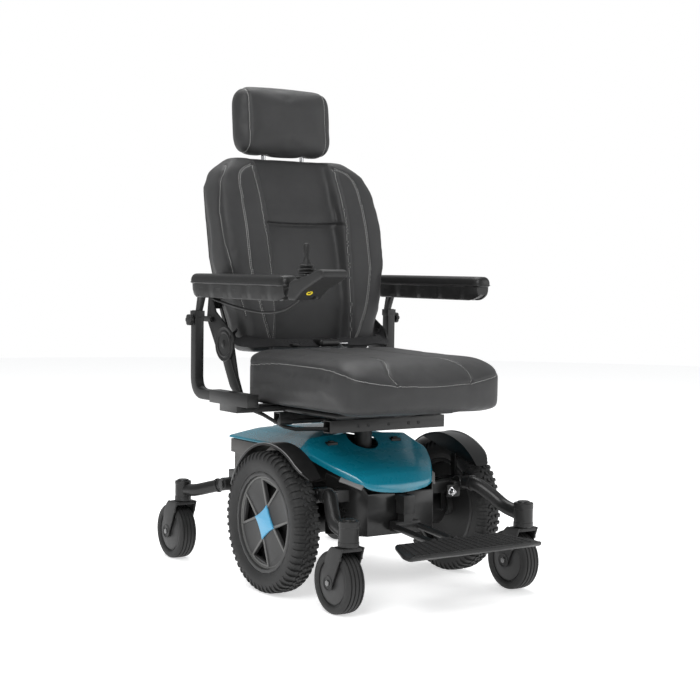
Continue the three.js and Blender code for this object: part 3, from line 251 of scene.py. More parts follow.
def from_bmesh(name, bm, sharp=38):
    bmesh.ops.recalc_face_normals(bm, faces=bm.faces)
    mesh = bpy.data.meshes.new(name)
    bm.to_mesh(mesh)
    bm.free()
    smooth(mesh, sharp)
    return new_piece(name, mesh)


def smooth(mesh, sharp=38):
    mesh.shade_smooth()
    mesh.set_sharp_from_angle(angle=math.radians(sharp))


def evaluated(piece):
    graph = bpy.context.evaluated_depsgraph_get()
    return bpy.data.meshes.new_from_object(piece.evaluated_get(graph))


def baked(piece):
    """Applies the piece's modifiers to its mesh."""
    mesh = evaluated(piece)
    piece.modifiers.clear()
    piece.data = mesh
    return piece


def modify(piece, kind, **settings):
    modifier = piece.modifiers.new(kind.lower(), kind)
    for key, value in settings.items():
        setattr(modifier, key, value)
    return piece


def joined(name, pieces):
    first = pieces[0]
    if len(pieces) > 1:
        with bpy.context.temp_override(active_object=first, object=first, selected_objects=pieces,
                                       selected_editable_objects=pieces):
            bpy.ops.object.join()
    first.name = name
    first.data.name = name
    return first


def paint(piece, material):
    piece.data.materials.clear()
    piece.data.materials.append(material)
    return piece


def dress(piece, body, *nodes, slot=None):
    """The piece rides on a body, and stands for the CAD nodes named."""
    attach(piece, body)
    if nodes:
        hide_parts(*nodes)
    return piece


def axis_place(axis, origin):
    turns = {
        "X": lambda u, v, w: Vector((w, u, v)),
        "Y": lambda u, v, w: Vector((u, w, v)),
        "Z": lambda u, v, w: Vector((u, v, w)),
    }
    return lambda u, v, w: origin + turns[axis](u, v, w) / 1000


def skin(bm, rings, closed):
    count = len(rings)
    for k in range(count if closed else count - 1):
        low, high = rings[k], rings[(k + 1) % count]
        for i in range(len(low)):
            j = (i + 1) % len(low)
            corners = []
            for corner in (low[i], low[j], high[j], high[i]):
                if corner not in corners:
                    corners.append(corner)
            if len(corners) > 2:
                bm.faces.new(corners)


def lathe(name, profile, origin, axis="X", segments=72, closed=False, sharp=38):
    """Turns a profile of (radius, along) about an axis; a profile that is not closed ends on the axis."""
    bm = bmesh.new()
    place = axis_place(axis, origin)
    rings = []
    for radius, along in profile:
        if radius < 1e-6:
            rings.append([bm.verts.new(place(0, 0, along))] * segments)
            continue
        ring = []
        for i in range(segments):
            turn = 2 * math.pi * i / segments
            ring.append(bm.verts.new(place(radius * math.cos(turn), radius * math.sin(turn), along)))
        rings.append(ring)
    skin(bm, rings, closed)
    return from_bmesh(name, bm, sharp)


def smooth_path(points, steps=8):
    """Catmull-Rom points through a list of vectors."""
    points = [Vector(p) for p in points]
    whole = [points[0] * 2 - points[1], *points, points[-1] * 2 - points[-2]]
    path = []
    for a, b, c, d in zip(whole, whole[1:], whole[2:], whole[3:]):
        for k in range(steps):
            t = k / steps
            path.append(0.5 * (2 * b + (c - a) * t + (2 * a - 5 * b + 4 * c - d) * t * t
                               + (3 * b - a - 3 * c + d) * t ** 3))
    path.append(points[-1])
    return path


def path_length(path):
    return sum((b - a).length for a, b in zip(path, path[1:]))


def sweep(name, path, section, across=Vector((1, 0, 0)), sharp=38):
    """Carries a closed section of (u, v) millimetres along a path; u runs along the given direction."""
    bm = bmesh.new()
    rings = []
    for i, point in enumerate(path):
        ahead = (path[min(i + 1, len(path) - 1)] - path[max(i - 1, 0)]).normalized()
        side = (across - ahead * across.dot(ahead)).normalized()
        up = side.cross(ahead)
        rings.append([bm.verts.new(point + (side * u + up * v) / 1000) for u, v in section])
    skin(bm, rings, False)
    bm.faces.new(rings[0])
    bm.faces.new(rings[-1])
    return from_bmesh(name, bm, sharp)


def circle(radius, sides=24):
    return [(radius * math.cos(2 * math.pi * i / sides), radius * math.sin(2 * math.pi * i / sides))
            for i in range(sides)]


def curve_point(a, b, c, t):
    """The point at t, from 0 to 1, on the curve from a to c that b pulls towards itself."""
    return tuple(a * (1 - t) ** 2 + b * 2 * t * (1 - t) + c * t * t)


def bent(a, b, c, count=10):
    """The curve's points from a to c, with both ends."""
    a, b, c = Vector(a), Vector(b), Vector(c)
    return [curve_point(a, b, c, k / count) for k in range(count + 1)]


def rounded(points, radius, steps=4):
    """A closed outline with each corner turned into an arc."""
    outline = []
    count = len(points)
    for i, point in enumerate(points):
        here = Vector(point)
        back, ahead = Vector(points[i - 1]) - here, Vector(points[(i + 1) % count]) - here
        reach = min(radius, back.length * 0.45, ahead.length * 0.45)
        start, end = here + back.normalized() * reach, here + ahead.normalized() * reach
        outline += [curve_point(start, here, end, k / steps) for k in range(steps + 1)]
    return outline


def slab(name, outlines, axis, low, high, bevel=1.5, origin=None):
    """A plate with rounded edges between two heights along an axis; further outlines are its holes."""
    curve = bpy.data.curves.new(name, "CURVE")
    curve.dimensions = "2D"
    curve.fill_mode = "BOTH"
    curve.extrude = (high - low) / 2 - bevel
    curve.bevel_depth = bevel
    curve.bevel_resolution = 2
    curve.offset = -bevel
    for outline in outlines:
        spline = curve.splines.new("POLY")
        spline.points.add(len(outline) - 1)
        for point, (u, v) in zip(spline.points, outline):
            point.co = (u, v, 0, 1)
        spline.use_cyclic_u = True
    holder = new_piece(name, curve)
    mesh = evaluated(holder)
    bpy.data.objects.remove(holder)
    place = axis_place(axis, origin or at(0, 0, 0))
    half = (low + high) / 2
    bm = bmesh.new()
    bm.from_mesh(mesh)
    for vertex in bm.verts:
        vertex.co = place(vertex.co.x, vertex.co.y, vertex.co.z + half)
    bmesh.ops.remove_doubles(bm, verts=bm.verts, dist=1e-6)
    return from_bmesh(name, bm)


def block(name, low, high, bevel=2.0, segments=3):
    """A box with rounded edges between two corners given in millimetres."""
    bm = bmesh.new()
    bmesh.ops.create_cube(bm, size=1)
    a, b = at(*low), at(*high)
    for vertex in bm.verts:
        vertex.co = Vector(((a + b) / 2)) + Vector([c * s for c, s in zip(vertex.co, b - a)])
    bmesh.ops.bevel(bm, geom=bm.edges, offset=bevel / 1000, segments=segments, affect="EDGES", profile=0.6)
    return from_bmesh(name, bm, 50)


def mirrored(piece, name):
    """A copy of the piece on the other side of the chair's middle plane."""
    copy = new_piece(name, piece.data.copy())
    copy.data.transform(Matrix.Scale(-1, 4, Vector((1, 0, 0))))
    copy.data.flip_normals()
    return copy


def copy_of(node, name=None):
    bm = bmesh.new()
    bm.from_mesh(NODES[node].data)
    bmesh.ops.remove_doubles(bm, verts=bm.verts, dist=2e-5)
    bmesh.ops.dissolve_limit(bm, angle_limit=math.radians(1.0), verts=bm.verts, edges=bm.edges)
    return from_bmesh(name or f"{node}_look", bm)


def refined(node, material, body, width=1.2, slot=None):
    """The CAD node with its sharp edges rounded."""
    piece = copy_of(node)
    modify(piece, "BEVEL", width=width / 1000, segments=2, limit_method="ANGLE", angle_limit=math.radians(32))
    baked(piece)
    smooth(piece.data, 30)
    paint(piece, material)
    return dress(piece, body, node, slot=slot)


def softened(node, voxel, rounds, name=None, factor=0.5):
    """The CAD node remeshed and relaxed into a moulded shape."""
    piece = copy_of(node, name)
    modify(piece, "REMESH", mode="VOXEL", voxel_size=voxel / 1000)
    modify(piece, "SMOOTH", factor=factor, iterations=rounds)
    baked(piece)
    piece.data.shade_smooth()
    return piece


def tree_of(piece):
    graph = bpy.context.evaluated_depsgraph_get()
    return BVHTree.FromObject(piece, graph)


# ------------------------------------------------------------------------------- cable
CABLE = [(-143, 703), (-130, 697), (-105, 686), (-75, 677), (-40, 671), (0, 668), (45, 668), (90, 671),
         (130, 675), (170, 680), (205, 685), (235, 689), (255, 692), (270, 696), (279, 702)]


def make_cable():
    """The lead from the controller's back, under the right armrest and up into its casing."""
    points = [at(-286, y, z) for y, z in CABLE]
    curve = bpy.data.curves.new("controller_lead", "CURVE")
    curve.dimensions = "3D"
    spline = curve.splines.new("POLY")
    path = smooth_path(points, 3)
    spline.points.add(len(path) - 1)
    for point, place in zip(spline.points, path):
        point.co = (*place, 1)
    curve.bevel_depth = 0.003
    curve.bevel_resolution = 4
    curve.use_fill_caps = True
    lead = paint(new_piece("controller_lead", curve), LOOKS["rubber"])
    dress(lead, "arm_pad_right", "controller_cable", slot="black_rubber")
    round(path_length(path), 3)
    relief = sweep("lead_relief", [points[0].lerp(points[1], t) for t in (0, 0.35, 0.7, 1.0)], circle(4.6, 20))
    for vertex in relief.data.vertices:
        fade = (points[0] - vertex.co).length / (points[0] - points[1]).length
        middle_line = points[0].lerp(points[1], fade)
        vertex.co = middle_line + (vertex.co - middle_line) * (1 - 0.28 * fade)
    dress(paint(relief, LOOKS["rubber"]), "arm_pad_right")


# ------------------------------------------------------------------------------ wheels
WHEEL_X = 270
WHEEL_RADIUS = 170


def tyre_piece():
    side = [(120, 20), (121, 27), (126, 29.5), (133, 32), (142, 33.4), (150, 33), (156.6, 30.6),
            (161.4, 26), (164.6, 18), (165.6, 8)]
    profile = side + [(r, -a) for r, a in reversed(side)]
    hub = at(WHEEL_X, 0, WHEEL_RADIUS)
    body = lathe("tyre", profile, hub, segments=120, closed=True)
    return paint(body, LOOKS["tyre"])


def prism(bm, outline, low, high, place):
    """A block between two heights of an outline, placed by a function of (u, v, height)."""
    rings = [[bm.verts.new(place(u, v, h)) for u, v in outline] for h in (low, high)]
    skin(bm, rings, False)
    bm.faces.new(rings[0])
    bm.faces.new(rings[1])


def tread_piece():
    """Shoulder lugs and chevrons round the tyre."""
    bm = bmesh.new()
    hub = at(WHEEL_X, 0, WHEEL_RADIUS)
    count = 56
    shoulder = [(11, 161), (12.5, 169.2), (22, 168.2), (29, 165.2), (33.2, 158.5), (34, 149), (30, 150), (24, 158)]
    chevron = [(1.2, -3.5), (1.2, 4.0), (9.5, 8.5), (9.5, 1.0)]
    for i in range(count):
        for sign in (-1, 1):
            turn = 2 * math.pi * (i + (0.5 if sign > 0 else 0)) / count
            half = 3.4 if i % 2 else 4.2

            def lug(along, radius, tangent, turn=turn, sign=sign):
                angle = turn + tangent / WHEEL_RADIUS
                return hub + Vector((sign * along, radius * math.cos(angle), radius * math.sin(angle))) / 1000

            prism(bm, shoulder, -half, half, lug)
            prism(bm, chevron, 163, 169.4, lambda along, tangent, radius: lug(along, radius, tangent))
    piece = from_bmesh("tread", bm, 30)
    modify(piece, "BEVEL", width=0.0006, segments=1, limit_method="ANGLE")
    return paint(baked(piece), LOOKS["tread"])


def polar(radius, degrees):
    return radius * math.cos(math.radians(degrees)), radius * math.sin(math.radians(degrees))


def window(grow):
    """One of the wheel cover's triangular openings, as (y, z) from the hub."""
    tip = [polar(44 - grow * 2.2, 12)]
    arc = [polar(100 + grow, 12 - 19 - grow * 0.62 + k * (38 + grow * 1.24) / 12) for k in range(13)]
    return tip + arc


def turned(outline, degrees):
    c, s = math.cos(math.radians(degrees)), math.sin(math.radians(degrees))
    return [(u * c - v * s, u * s + v * c) for u, v in outline]


def hub_star(tip, waist, turn):
    outline = []
    for angle in range(turn, turn + 360, 90):
        outline += bent(polar(tip, angle), polar(waist, angle + 45), polar(tip, angle + 90), 9)[:-1]
    return outline


def drive_wheel_pieces():
    hub = at(WHEEL_X, 0, WHEEL_RADIUS)
    cover = copy_of("drive_rim_left", "wheel_cover")
    modify(cover, "BEVEL", width=0.0012, segments=2, limit_method="ANGLE", angle_limit=math.radians(32))
    baked(cover)
    smooth(cover.data, 30)
    paint(cover, LOOKS["panel"])
    ribs = []
    for i in range(4):
        frame_line = [turned(window(6.0), i * 90), turned(window(0.2), i * 90)]
        ribs.append(slab("rib", frame_line, "X", 17.0, 20.4, 0.8, hub))
    lip = [(105, 17.6), (106, 20.2), (109, 21.4), (112, 20.4), (113, 18.6), (116.5, 18.6), (117.2, 22), (119.4, 23.4),
           (120.6, 22.4), (120.6, 16), (105, 16)]
    ribs.append(lathe("lip", lip, hub, closed=True, segments=96))
    ribs = paint(joined("wheel_ribs", ribs), LOOKS["rib"])
    star = slab("hub_star", [hub_star(43, 24, 12)], "X", 17.5, 23.2, 1.6, hub)
    paint(star, LOOKS["blue"])
    backing = lathe("backing", [(29, -14), (108, -14), (110.5, -12), (110.5, -8), (104, -7), (60, -4), (29, -3)], hub,
                    closed=True)
    return {"tyre": tyre_piece(), "tread": tread_piece(), "wheel_cover": cover, "wheel_ribs": ribs,
            "hub_star": star, "wheel_backing": paint(backing, LOOKS["tread"])}


DRIVE_NODES = {"tyre": ["drive_tyre"], "wheel_cover": ["drive_rim"]}
DRIVE_SLOTS = {"tyre": "grey_tyre", "tread": "grey_tyre", "wheel_cover": "wheel_plastic",
               "wheel_ribs": "wheel_plastic", "hub_star": "blue_cover", "wheel_backing": "wheel_plastic"}


def paired(pieces, bodies, nodes, slots):
    """Dresses left-hand pieces and their mirror images; names get their side."""
    for key, piece in list(pieces.items()):
        body = bodies if isinstance(bodies, str) else bodies[key]
        twin = mirrored(piece, f"{key}_right")
        piece.name = f"{key}_left"
        for side, half in (("left", piece), ("right", twin)):
            dress(half, f"{body}_{side}" if body != "base" else body, *[f"{n}_{side}" for n in nodes.get(key, [])],
                  slot=slots.get(key))


def make_drive_wheels():
    paired(drive_wheel_pieces(), "drive_wheel", DRIVE_NODES, DRIVE_SLOTS)


# ----------------------------------------------------------- casters, forks and arms
CASTERS = {"front": (255.5, -302, 24, 216), "rear": (262, 464, 21.5, 210)}
CASTER_RADIUS = 72.5
TRAIL = 35
ARMS = {
    "front": ((-118, 245, 18, 193, 229), 17, [(212, -118, 245), (213, -148, 248), (219, -172, 244),
              (236, -206, 222), (249, -240, 199), (255, -296, 186)]),
    "rear": ((318, 216, 17, 193, 227), 16, [(210, 318, 216), (214, 346, 210), (232, 380, 200), (250, 416, 190),
             (260, 458, 186)]),
}


def caster_pieces(end):
    x, y, _, _ = CASTERS[end]
    hub = at(x, y + TRAIL, CASTER_RADIUS)
    side = [(52, 20.5), (54, 22.8), (59, 24), (65, 23.6), (69, 22), (71.2, 19), (71.8, 16.4), (69.4, 15.8),
            (69.4, 13.8), (72.2, 13.2), (72.4, 6.6), (69.8, 6), (69.8, 4), (72.5, 3.4), (72.5, 0)]
    tyre = lathe("caster_tyre", side + [(r, -a) for r, a in reversed(side[:-1])], hub, segments=84, closed=True)
    dome = [(0, 23.6), (12, 23.8), (26, 23.4), (40, 21.6), (47, 20.2), (49.5, 19.2), (50.2, 17.6), (52.4, 17.6),
            (52.6, 14)]
    discs = [lathe("disc", [(r, s * a) for r, a in dome] + [(52.6, 0)], hub, segments=72) for s in (-1, 1)]
    disc = joined("caster_disc", discs)
    return {f"{end}_caster_tyre": paint(tyre, LOOKS["tyre"]), f"{end}_caster_disc": paint(disc, LOOKS["panel"])}


def fork_plate(x, y, low, high):
    ax = y + TRAIL
    outline = [(y - 20, 156.5), (y + 24, 156.5)]
    outline += bent((y + 24, 156.5), (ax + 22, 136.5), (ax + 17, CASTER_RADIUS), 7)[1:-1]
    outline += [(ax + polar(17, -d)[0], CASTER_RADIUS + polar(17, -d)[1]) for d in range(0, 181, 15)]
    outline += bent((ax - 17, CASTER_RADIUS), (y - 8, 122.5), (y - 20, 156.5), 7)[1:-1]
    return slab("plate", [outline], "X", x + low, x + high, 1.6)


def fork_pieces(end):
    x, y, _, _ = CASTERS[end]
    ax = y + TRAIL
    plates = [fork_plate(x, y, low, high) for low, high in ((-31.5, -26.5), (26.5, 31.5))]
    plan = rounded([(x - 31.4, y - 19), (x + 31.4, y - 19), (x + 31.4, y + 23), (x - 31.4, y + 23)], 14)
    crown = slab("crown", [plan], "Z", 147.5, 156.5, 2.2)
    web = [block("web", (x + s * 28.8 - 2.6, y - 12, 128), (x + s * 28.8 + 2.6, y + 26, 152), 2) for s in (-1, 1)]
    washer = lathe("washer", [(0, 157), (17, 157), (18, 156.5), (18, 154), (0, 154)], at(x, y, 0), "Z", 40)
    stem = lathe("stem", [(0, 152), (8, 152), (8, 200), (7, 201), (0, 201)], at(x, y, 0), "Z", 24)
    boss = []
    for s in (-1, 1):
        profile = [(18.2, 31.2), (17.6, 32.6), (15.4, 33.0), (13.6, 32.2), (12.8, 31.4), (6.6, 31.4)]
        profile = [(r, s * a) for r, a in profile] + [(6.6, s * 30)]
        boss.append(lathe("boss", profile, at(x, ax, CASTER_RADIUS), segments=40))
    fork = joined("fork", [*plates, crown, *web, washer, stem])
    ring = joined("ring", boss)
    bolts = []
    for s in (-1, 1):
        head = [(polar(7.2, 30 + k * 60)[0], polar(7.2, 30 + k * 60)[1]) for k in range(6)]
        low, high = sorted((s * 30, s * 34.4))
        bolts.append(slab("bolt", [head], "X", low, high, 0.7, at(x, ax, CASTER_RADIUS)))
    pin = lathe("pin", [(0, -31), (5.6, -31), (5.6, 31), (0, 31)], at(x, ax, CASTER_RADIUS), segments=24)
    axle = joined("axle", [*bolts, pin])
    return {f"{end}_fork_casting": paint(fork, LOOKS["cast"]), f"{end}_fork_boss": paint(ring, LOOKS["cast"]),
            f"{end}_fork_axle": paint(axle, LOOKS["steel"])}


def arm_pieces(end):
    x, y, barrel, top = CASTERS[end]
    (py, pz, boss, x0, x1), tube, path = ARMS[end]
    line = smooth_path([at(*p) for p in path], 8)
    parts = [sweep("tube", line, circle(tube, 28))]
    profile = [(8.6, 157), (barrel - 1.5, 157), (barrel, 158.5), (barrel, 168), (barrel - 0.8, 169),
               (barrel - 0.8, 201), (barrel, 202), (barrel, top - 2), (barrel - 1.6, top),
               (15.5, top + 0.6), (14.6, top + 3.4), (12.6, top + 4), (0, top + 4)]
    parts.append(lathe("barrel", [(8.6, 196), *profile], at(x, y, 0), "Z", 48))
    parts.append(lathe("boss", [(6.6, x0), (boss - 1.5, x0), (boss, x0 + 1.5), (boss, x1 - 1.5), (boss - 1.5, x1),
                                (6.6, x1)], at(0, py, pz), segments=40, closed=True))
    middle_point = line[10]
    ahead = (line[11] - line[9]).normalized()
    collar = [(tube + 2.2, -3), (tube + 2.6, 0), (tube + 2.2, 3), (tube - 1, 3), (tube - 1, -3)]
    ring = lathe("collar", collar, Vector((0, 0, 0)), "Z", 40, closed=True)
    ring.data.transform(Matrix.Translation(middle_point) @ ahead.to_track_quat("Z", "Y").to_matrix().to_4x4())
    parts.append(ring)
    return {f"{end}_suspension_arm": paint(joined("arm", parts), LOOKS["paint"])}


def make_undercarriage():
    for end in ("front", "rear"):
        paired(caster_pieces(end), f"{end}_caster", {f"{end}_caster_tyre": [f"{end}_caster_wheel"]},
               {f"{end}_caster_tyre": "grey_tyre", f"{end}_caster_disc": "wheel_plastic"})
        paired(fork_pieces(end), f"{end}_fork", {f"{end}_fork_casting": [f"{end}_fork"]},
               {f"{end}_fork_casting": "black_frame", f"{end}_fork_boss": "black_frame",
                f"{end}_fork_axle": "bright_steel"})
        paired(arm_pieces(end), f"{end}_arm", {f"{end}_suspension_arm": [f"{end}_arm"]},
               {f"{end}_suspension_arm": "black_frame"})


# ---------------------------------------------------------------------- shrouds
def interpolated(points):
    points = sorted(points)
    return lambda v: float(np.interp(v, [p[0] for p in points], [p[1] for p in points]))


def smooth_least(a, b, soft):
    h = max(soft - abs(a - b), 0) / soft
    return min(a, b) - h * h * soft / 4


def cowl(name, columns, rows, place, top, floor, edge_round, hide_back):
    """A moulded cover: a crowned top over a plan of columns and rows, with walls down from its edge."""
    flat = [[place(u, t) for t in rows] for u in columns]
    rim = [flat[0][k] for k in range(len(rows))] + [line[-1] for line in flat]
    rim += [flat[-1][k] for k in reversed(range(len(rows)))]
    if not hide_back:
        rim += [line[0] for line in flat]
    rim = np.array(rim)

    def height(x, y):
        away = np.sqrt(((rim - (x, y)) ** 2).sum(1)).min()
        drop = 0
        if away < edge_round:
            drop = edge_round - math.sqrt(max(edge_round ** 2 - (edge_round - away) ** 2, 0))
        return top(x, y, away) - drop

    bm = bmesh.new()
    grid = [[bm.verts.new(at(x, y, height(x, y))) for x, y in line] for line in flat]
    for a, b in zip(grid, grid[1:]):
        for k in range(len(a) - 1):
            bm.faces.new((a[k], a[k + 1], b[k + 1], b[k]))
    edge = grid[0][:-1] + [line[-1] for line in grid[:-1]] + list(reversed(grid[-1]))
    previous = edge
    for step in (0.34, 0.67, 1.0):
        ring = []
        for vertex in edge:
            y = (vertex.co.y - AXLE.y) * 1000
            z = vertex.co.z * 1000
            ring.append(bm.verts.new((vertex.co.x, vertex.co.y, (z + (floor(y) - z) * step) / 1000)))
        for k in range(len(edge) - 1):
            bm.faces.new((previous[k], previous[k + 1], ring[k + 1], ring[k]))
        previous = ring
    piece = from_bmesh(name, bm, 50)
    modify(piece, "SOLIDIFY", thickness=0.003, offset=-1)
    return baked(piece)


def crowded(count, ends="both"):
    """Numbers from 0 to 1 that crowd towards both ends, or towards 1."""
    if ends == "both":
        return [0.5 - 0.5 * math.cos(math.pi * k / count) for k in range(count + 1)]
    return [math.sin(math.pi / 2 * k / count) for k in range(count + 1)]


def make_front_cover():
    front = interpolated([(0, -155), *[(x, y) for x, y in bent((100, -140), (88, -152), (0, -155))],
                          *bent((175, -12), (150, -84), (100, -140))])
    side = interpolated([(37, 364), (10, 349), (-26, 330), (-80, 307), (-108, 294), (-124, 284),
                         (-148, 262), (-156, 252)])
    floor = interpolated([(37, 316), (-20, 312), (-140, 258), (-156, 238)])

    def place(u, t):
        x = -174.6 + 349.2 * u
        return x, 37 + t * (front(abs(x)) + 0.4 - 37)

    def top(x, y, away):
        crown = side(y) - 9 * (abs(x) / 175) ** 2
        return smooth_least(crown, floor(y) + 12 + 1.05 * away, 6)

    cover = cowl("front_cover", crowded(72), crowded(56, "end"), place, top, floor, 5, True)
    hole = lathe("hole", [(0, 300), (40, 300), (40, 420), (0, 420)], at(0, 16, 0), "Z", 64)
    modify(cover, "BOOLEAN", operation="DIFFERENCE", object=hole, solver="EXACT")
    baked(cover)
    bpy.data.objects.remove(hole)
    smooth(cover.data, 45)
    dress(paint(cover, LOOKS["teal"]), "base", "front_shroud", slot="blue_cover")
    skin_tree = tree_of(cover)
    trim = []
    for x in (-96, 96):
        z = skin_tree.ray_cast(at(x, 12, 500), Vector((0, 0, -1)))[0].z * 1000
        trim.append(block("catch", (x - 15, 2, z - 6), (x + 15, 22, z + 2.4), 2.6))
        trim.append(block("catch", (x - 7, 8, z), (x + 7, 17, z + 5.5), 1.6))
    dress(paint(joined("cover_catches", trim), LOOKS["plastic"]), "base", slot="black_plastic")


def make_rear_cover():
    side = interpolated([(38, 371), (130, 377), *bent((130, 377), (240, 374), (353, 354)),
                         *bent((353, 354), (380, 350), (383, 339))])
    facing = interpolated([*bent((170, 332), (146, 336), (108, 347)), *bent((108, 347), (64, 368), (0, 373))])

    def place(u, t):
        return -169.6 + 339.2 * u, 38.4 + t * 344.2

    def top(x, y, _):
        return smooth_least(side(y), facing(abs(x)) + 2.5, 10)

    lid = cowl("rear_cover", crowded(72), crowded(56, "end"), place, top, lambda y: 328.6, 4, True)
    smooth(lid.data, 45)
    dress(paint(lid, LOOKS["teal"]), "base", "rear_shroud", slot="blue_cover")
    lid_tree = tree_of(lid)
    ridge = []
    for x in (-58, 58):
        line = []
        for y in range(62, 352, 10):
            hit = lid_tree.ray_cast(at(x, y, 500), Vector((0, 0, -1)))[0]
            line.append(hit - Vector((0, 0, 0.001)))
        ridge.append(sweep("ridge", line, circle(2.6, 10)))
    dress(paint(joined("rear_cover_ridges", ridge), LOOKS["teal"]), "base", slot="blue_cover")


def fender_flare(turn):
    """How far the fender stands off its circle, by degrees forward of the top."""
    return 4 * max(0, turn / 52) ** 2


def fender_taper(turn):
    """How far the fender's outer edge draws in towards its front tip."""
    return 20 * max(0, (turn - 36) / 16) ** 2


def make_fenders():
    bm = bmesh.new()
    steps = 44
    rings = []
    for k in range(steps + 1):
        turn = 52 - 120 * k / steps
        outer = 285 - fender_taper(turn)
        section = [(231, 184), (outer - 3, 184), (outer - 0.8, 182.6), (outer, 183.4), (outer, 187),
                   (outer - 0.8, 188.6), (outer - 3, 188.3), (outer - 5.5, 187.4), (outer - 9, 187.9), (231, 188)]
        ring = []
        for x, radius in section:
            u, v = polar(radius + fender_flare(turn), 90 - turn)
            ring.append(bm.verts.new(at(x, -u, WHEEL_RADIUS + v)))
        rings.append(ring)
    skin(bm, rings, False)
    bm.faces.new(rings[0])
    bm.faces.new(rings[-1])
    arch = from_bmesh("arch", bm, 40)
    arc = [polar(186 + fender_flare(t), 90 - t) for t in [52 - 7.5 * k for k in range(11)]]
    outline = rounded([(-u, WHEEL_RADIUS + v) for u, v in arc], 2, 2)
    panel = slab("panel", [outline], "X", 231, 234.2, 1.0)
    upright = block("upright", (227.4, -70, 250), (232, -50, 312), 1)
    foot = block("foot", (176, -70, 250.4), (231, -50, 254), 1)
    fender = joined("fender", [arch, panel, upright, foot])
    lips = []
    for k in range(40):
        turn = 46 - 110 * k / 39
        u, v = polar(188.2 + fender_flare(turn), 90 - turn)
        lips.append(at(285 - 1.6 - fender_taper(turn), -u, WHEEL_RADIUS + v))
    lip = sweep("lip", lips, circle(1.3, 8))
    bolts = [lathe("bolt", [(0, x), (4.5, x), (5.2, x - 1), (5.2, x - 3), (0, x - 3)], at(0, y, z), segments=20)
             for x, y, z in ((236.6, -64, 300), (236.6, -56, 268), (236.6, -96, 262))]
    paired({"fender_shell": paint(fender, LOOKS["gloss"]), "fender_lip": paint(lip, LOOKS["grey"]),
            "fender_bolts": paint(joined("bolts", bolts), LOOKS["steel"])},
           "base", {"fender_shell": ["fender"]},
           {"fender_shell": "black_plastic", "fender_lip": "grey_plastic", "fender_bolts": "bright_steel"})


# --------------------------------------------------------------------- plain CAD parts
# CAD nodes shown with only their edges rounded: the node, look, body, width of the rounding and slot.
PLAIN_PARTS = (
    ("chassis_frame", "paint", "base", 1.5, "black_frame"),
    ("battery_tray", "box", "base", 1.2, "grey_plastic"),
    ("battery_pack", "plastic", "base", 1.5, "black_plastic"),
    ("control_module", "cast", "base", 1.0, "black_plastic"),
    ("front_lower_shell", "gloss", "base", 2.2, "black_plastic"),
    ("seat_frame", "paint", "seat", 1.0, "black_frame"),
    ("swivel_lever", "plastic", "swivel_lever", 1.2, "black_plastic"),
    ("footplate_hanger", "paint", "footplate_hanger", 1.4, "black_frame"),
    ("back_frame", "plastic", "back", 1.6, "black_plastic"),
    ("recline_lever", "plastic", "recline_lever", 1.2, "black_plastic"),
    ("buckle_button", "plastic", "buckle_button", 0.8, "red_plastic"),
    ("joystick_gimbal", "steel", "joystick_gimbal", 0.6, "bright_steel"),
)


def make_frame_parts():
    parts = {node: refined(node, LOOKS[look_name], body, width, slot=slot)
             for node, look_name, body, width, slot in PLAIN_PARTS}
    for vertex in parts["back_frame"].data.vertices:
        z = vertex.co.z * 1000
        if z > 640:
            vertex.co.x *= 1 - 0.055 * min(1, (z - 640) / 120)
            vertex.co.z -= max(0, z - 960) * 0.14 / 1000
    for side, _ in SIDES:
        refined(f"gear_motor_{side}", LOOKS["cast"], "base", 1.5, slot="black_frame")
        refined(f"freewheel_lever_{side}", LOOKS["cast"], f"freewheel_lever_{side}", 0.8, slot="red_plastic")
        refined(f"arm_post_{side}", LOOKS["paint"], f"arm_post_{side}", 1.0, slot="black_frame")
    for x, y in ((-90, -96), (-60, -96), (60, -96), (90, -96), (0, -96)):
        socket = lathe("beam_screw", [(0, y - 0.5), (2.2, y - 0.6), (3.2, y - 1.1), (3.8, y - 0.6), (4, y + 1),
                                      (0, y + 1)], at(x, 0, 399), "Y", 20)
        dress(paint(socket, LOOKS["plastic"]), "seat")
    post = lathe("seat_column", [(0, 232), (21, 232), (22, 234), (22, 372), (24, 376), (33, 377.8), (34, 379),
                                 (34, 382.6), (33.2, 383.6), (0, 383.6)], at(0, 12, 0), "Z", 56)
    dress(paint(post, LOOKS["paint"]), "seat_post", "seat_post", slot="black_frame")


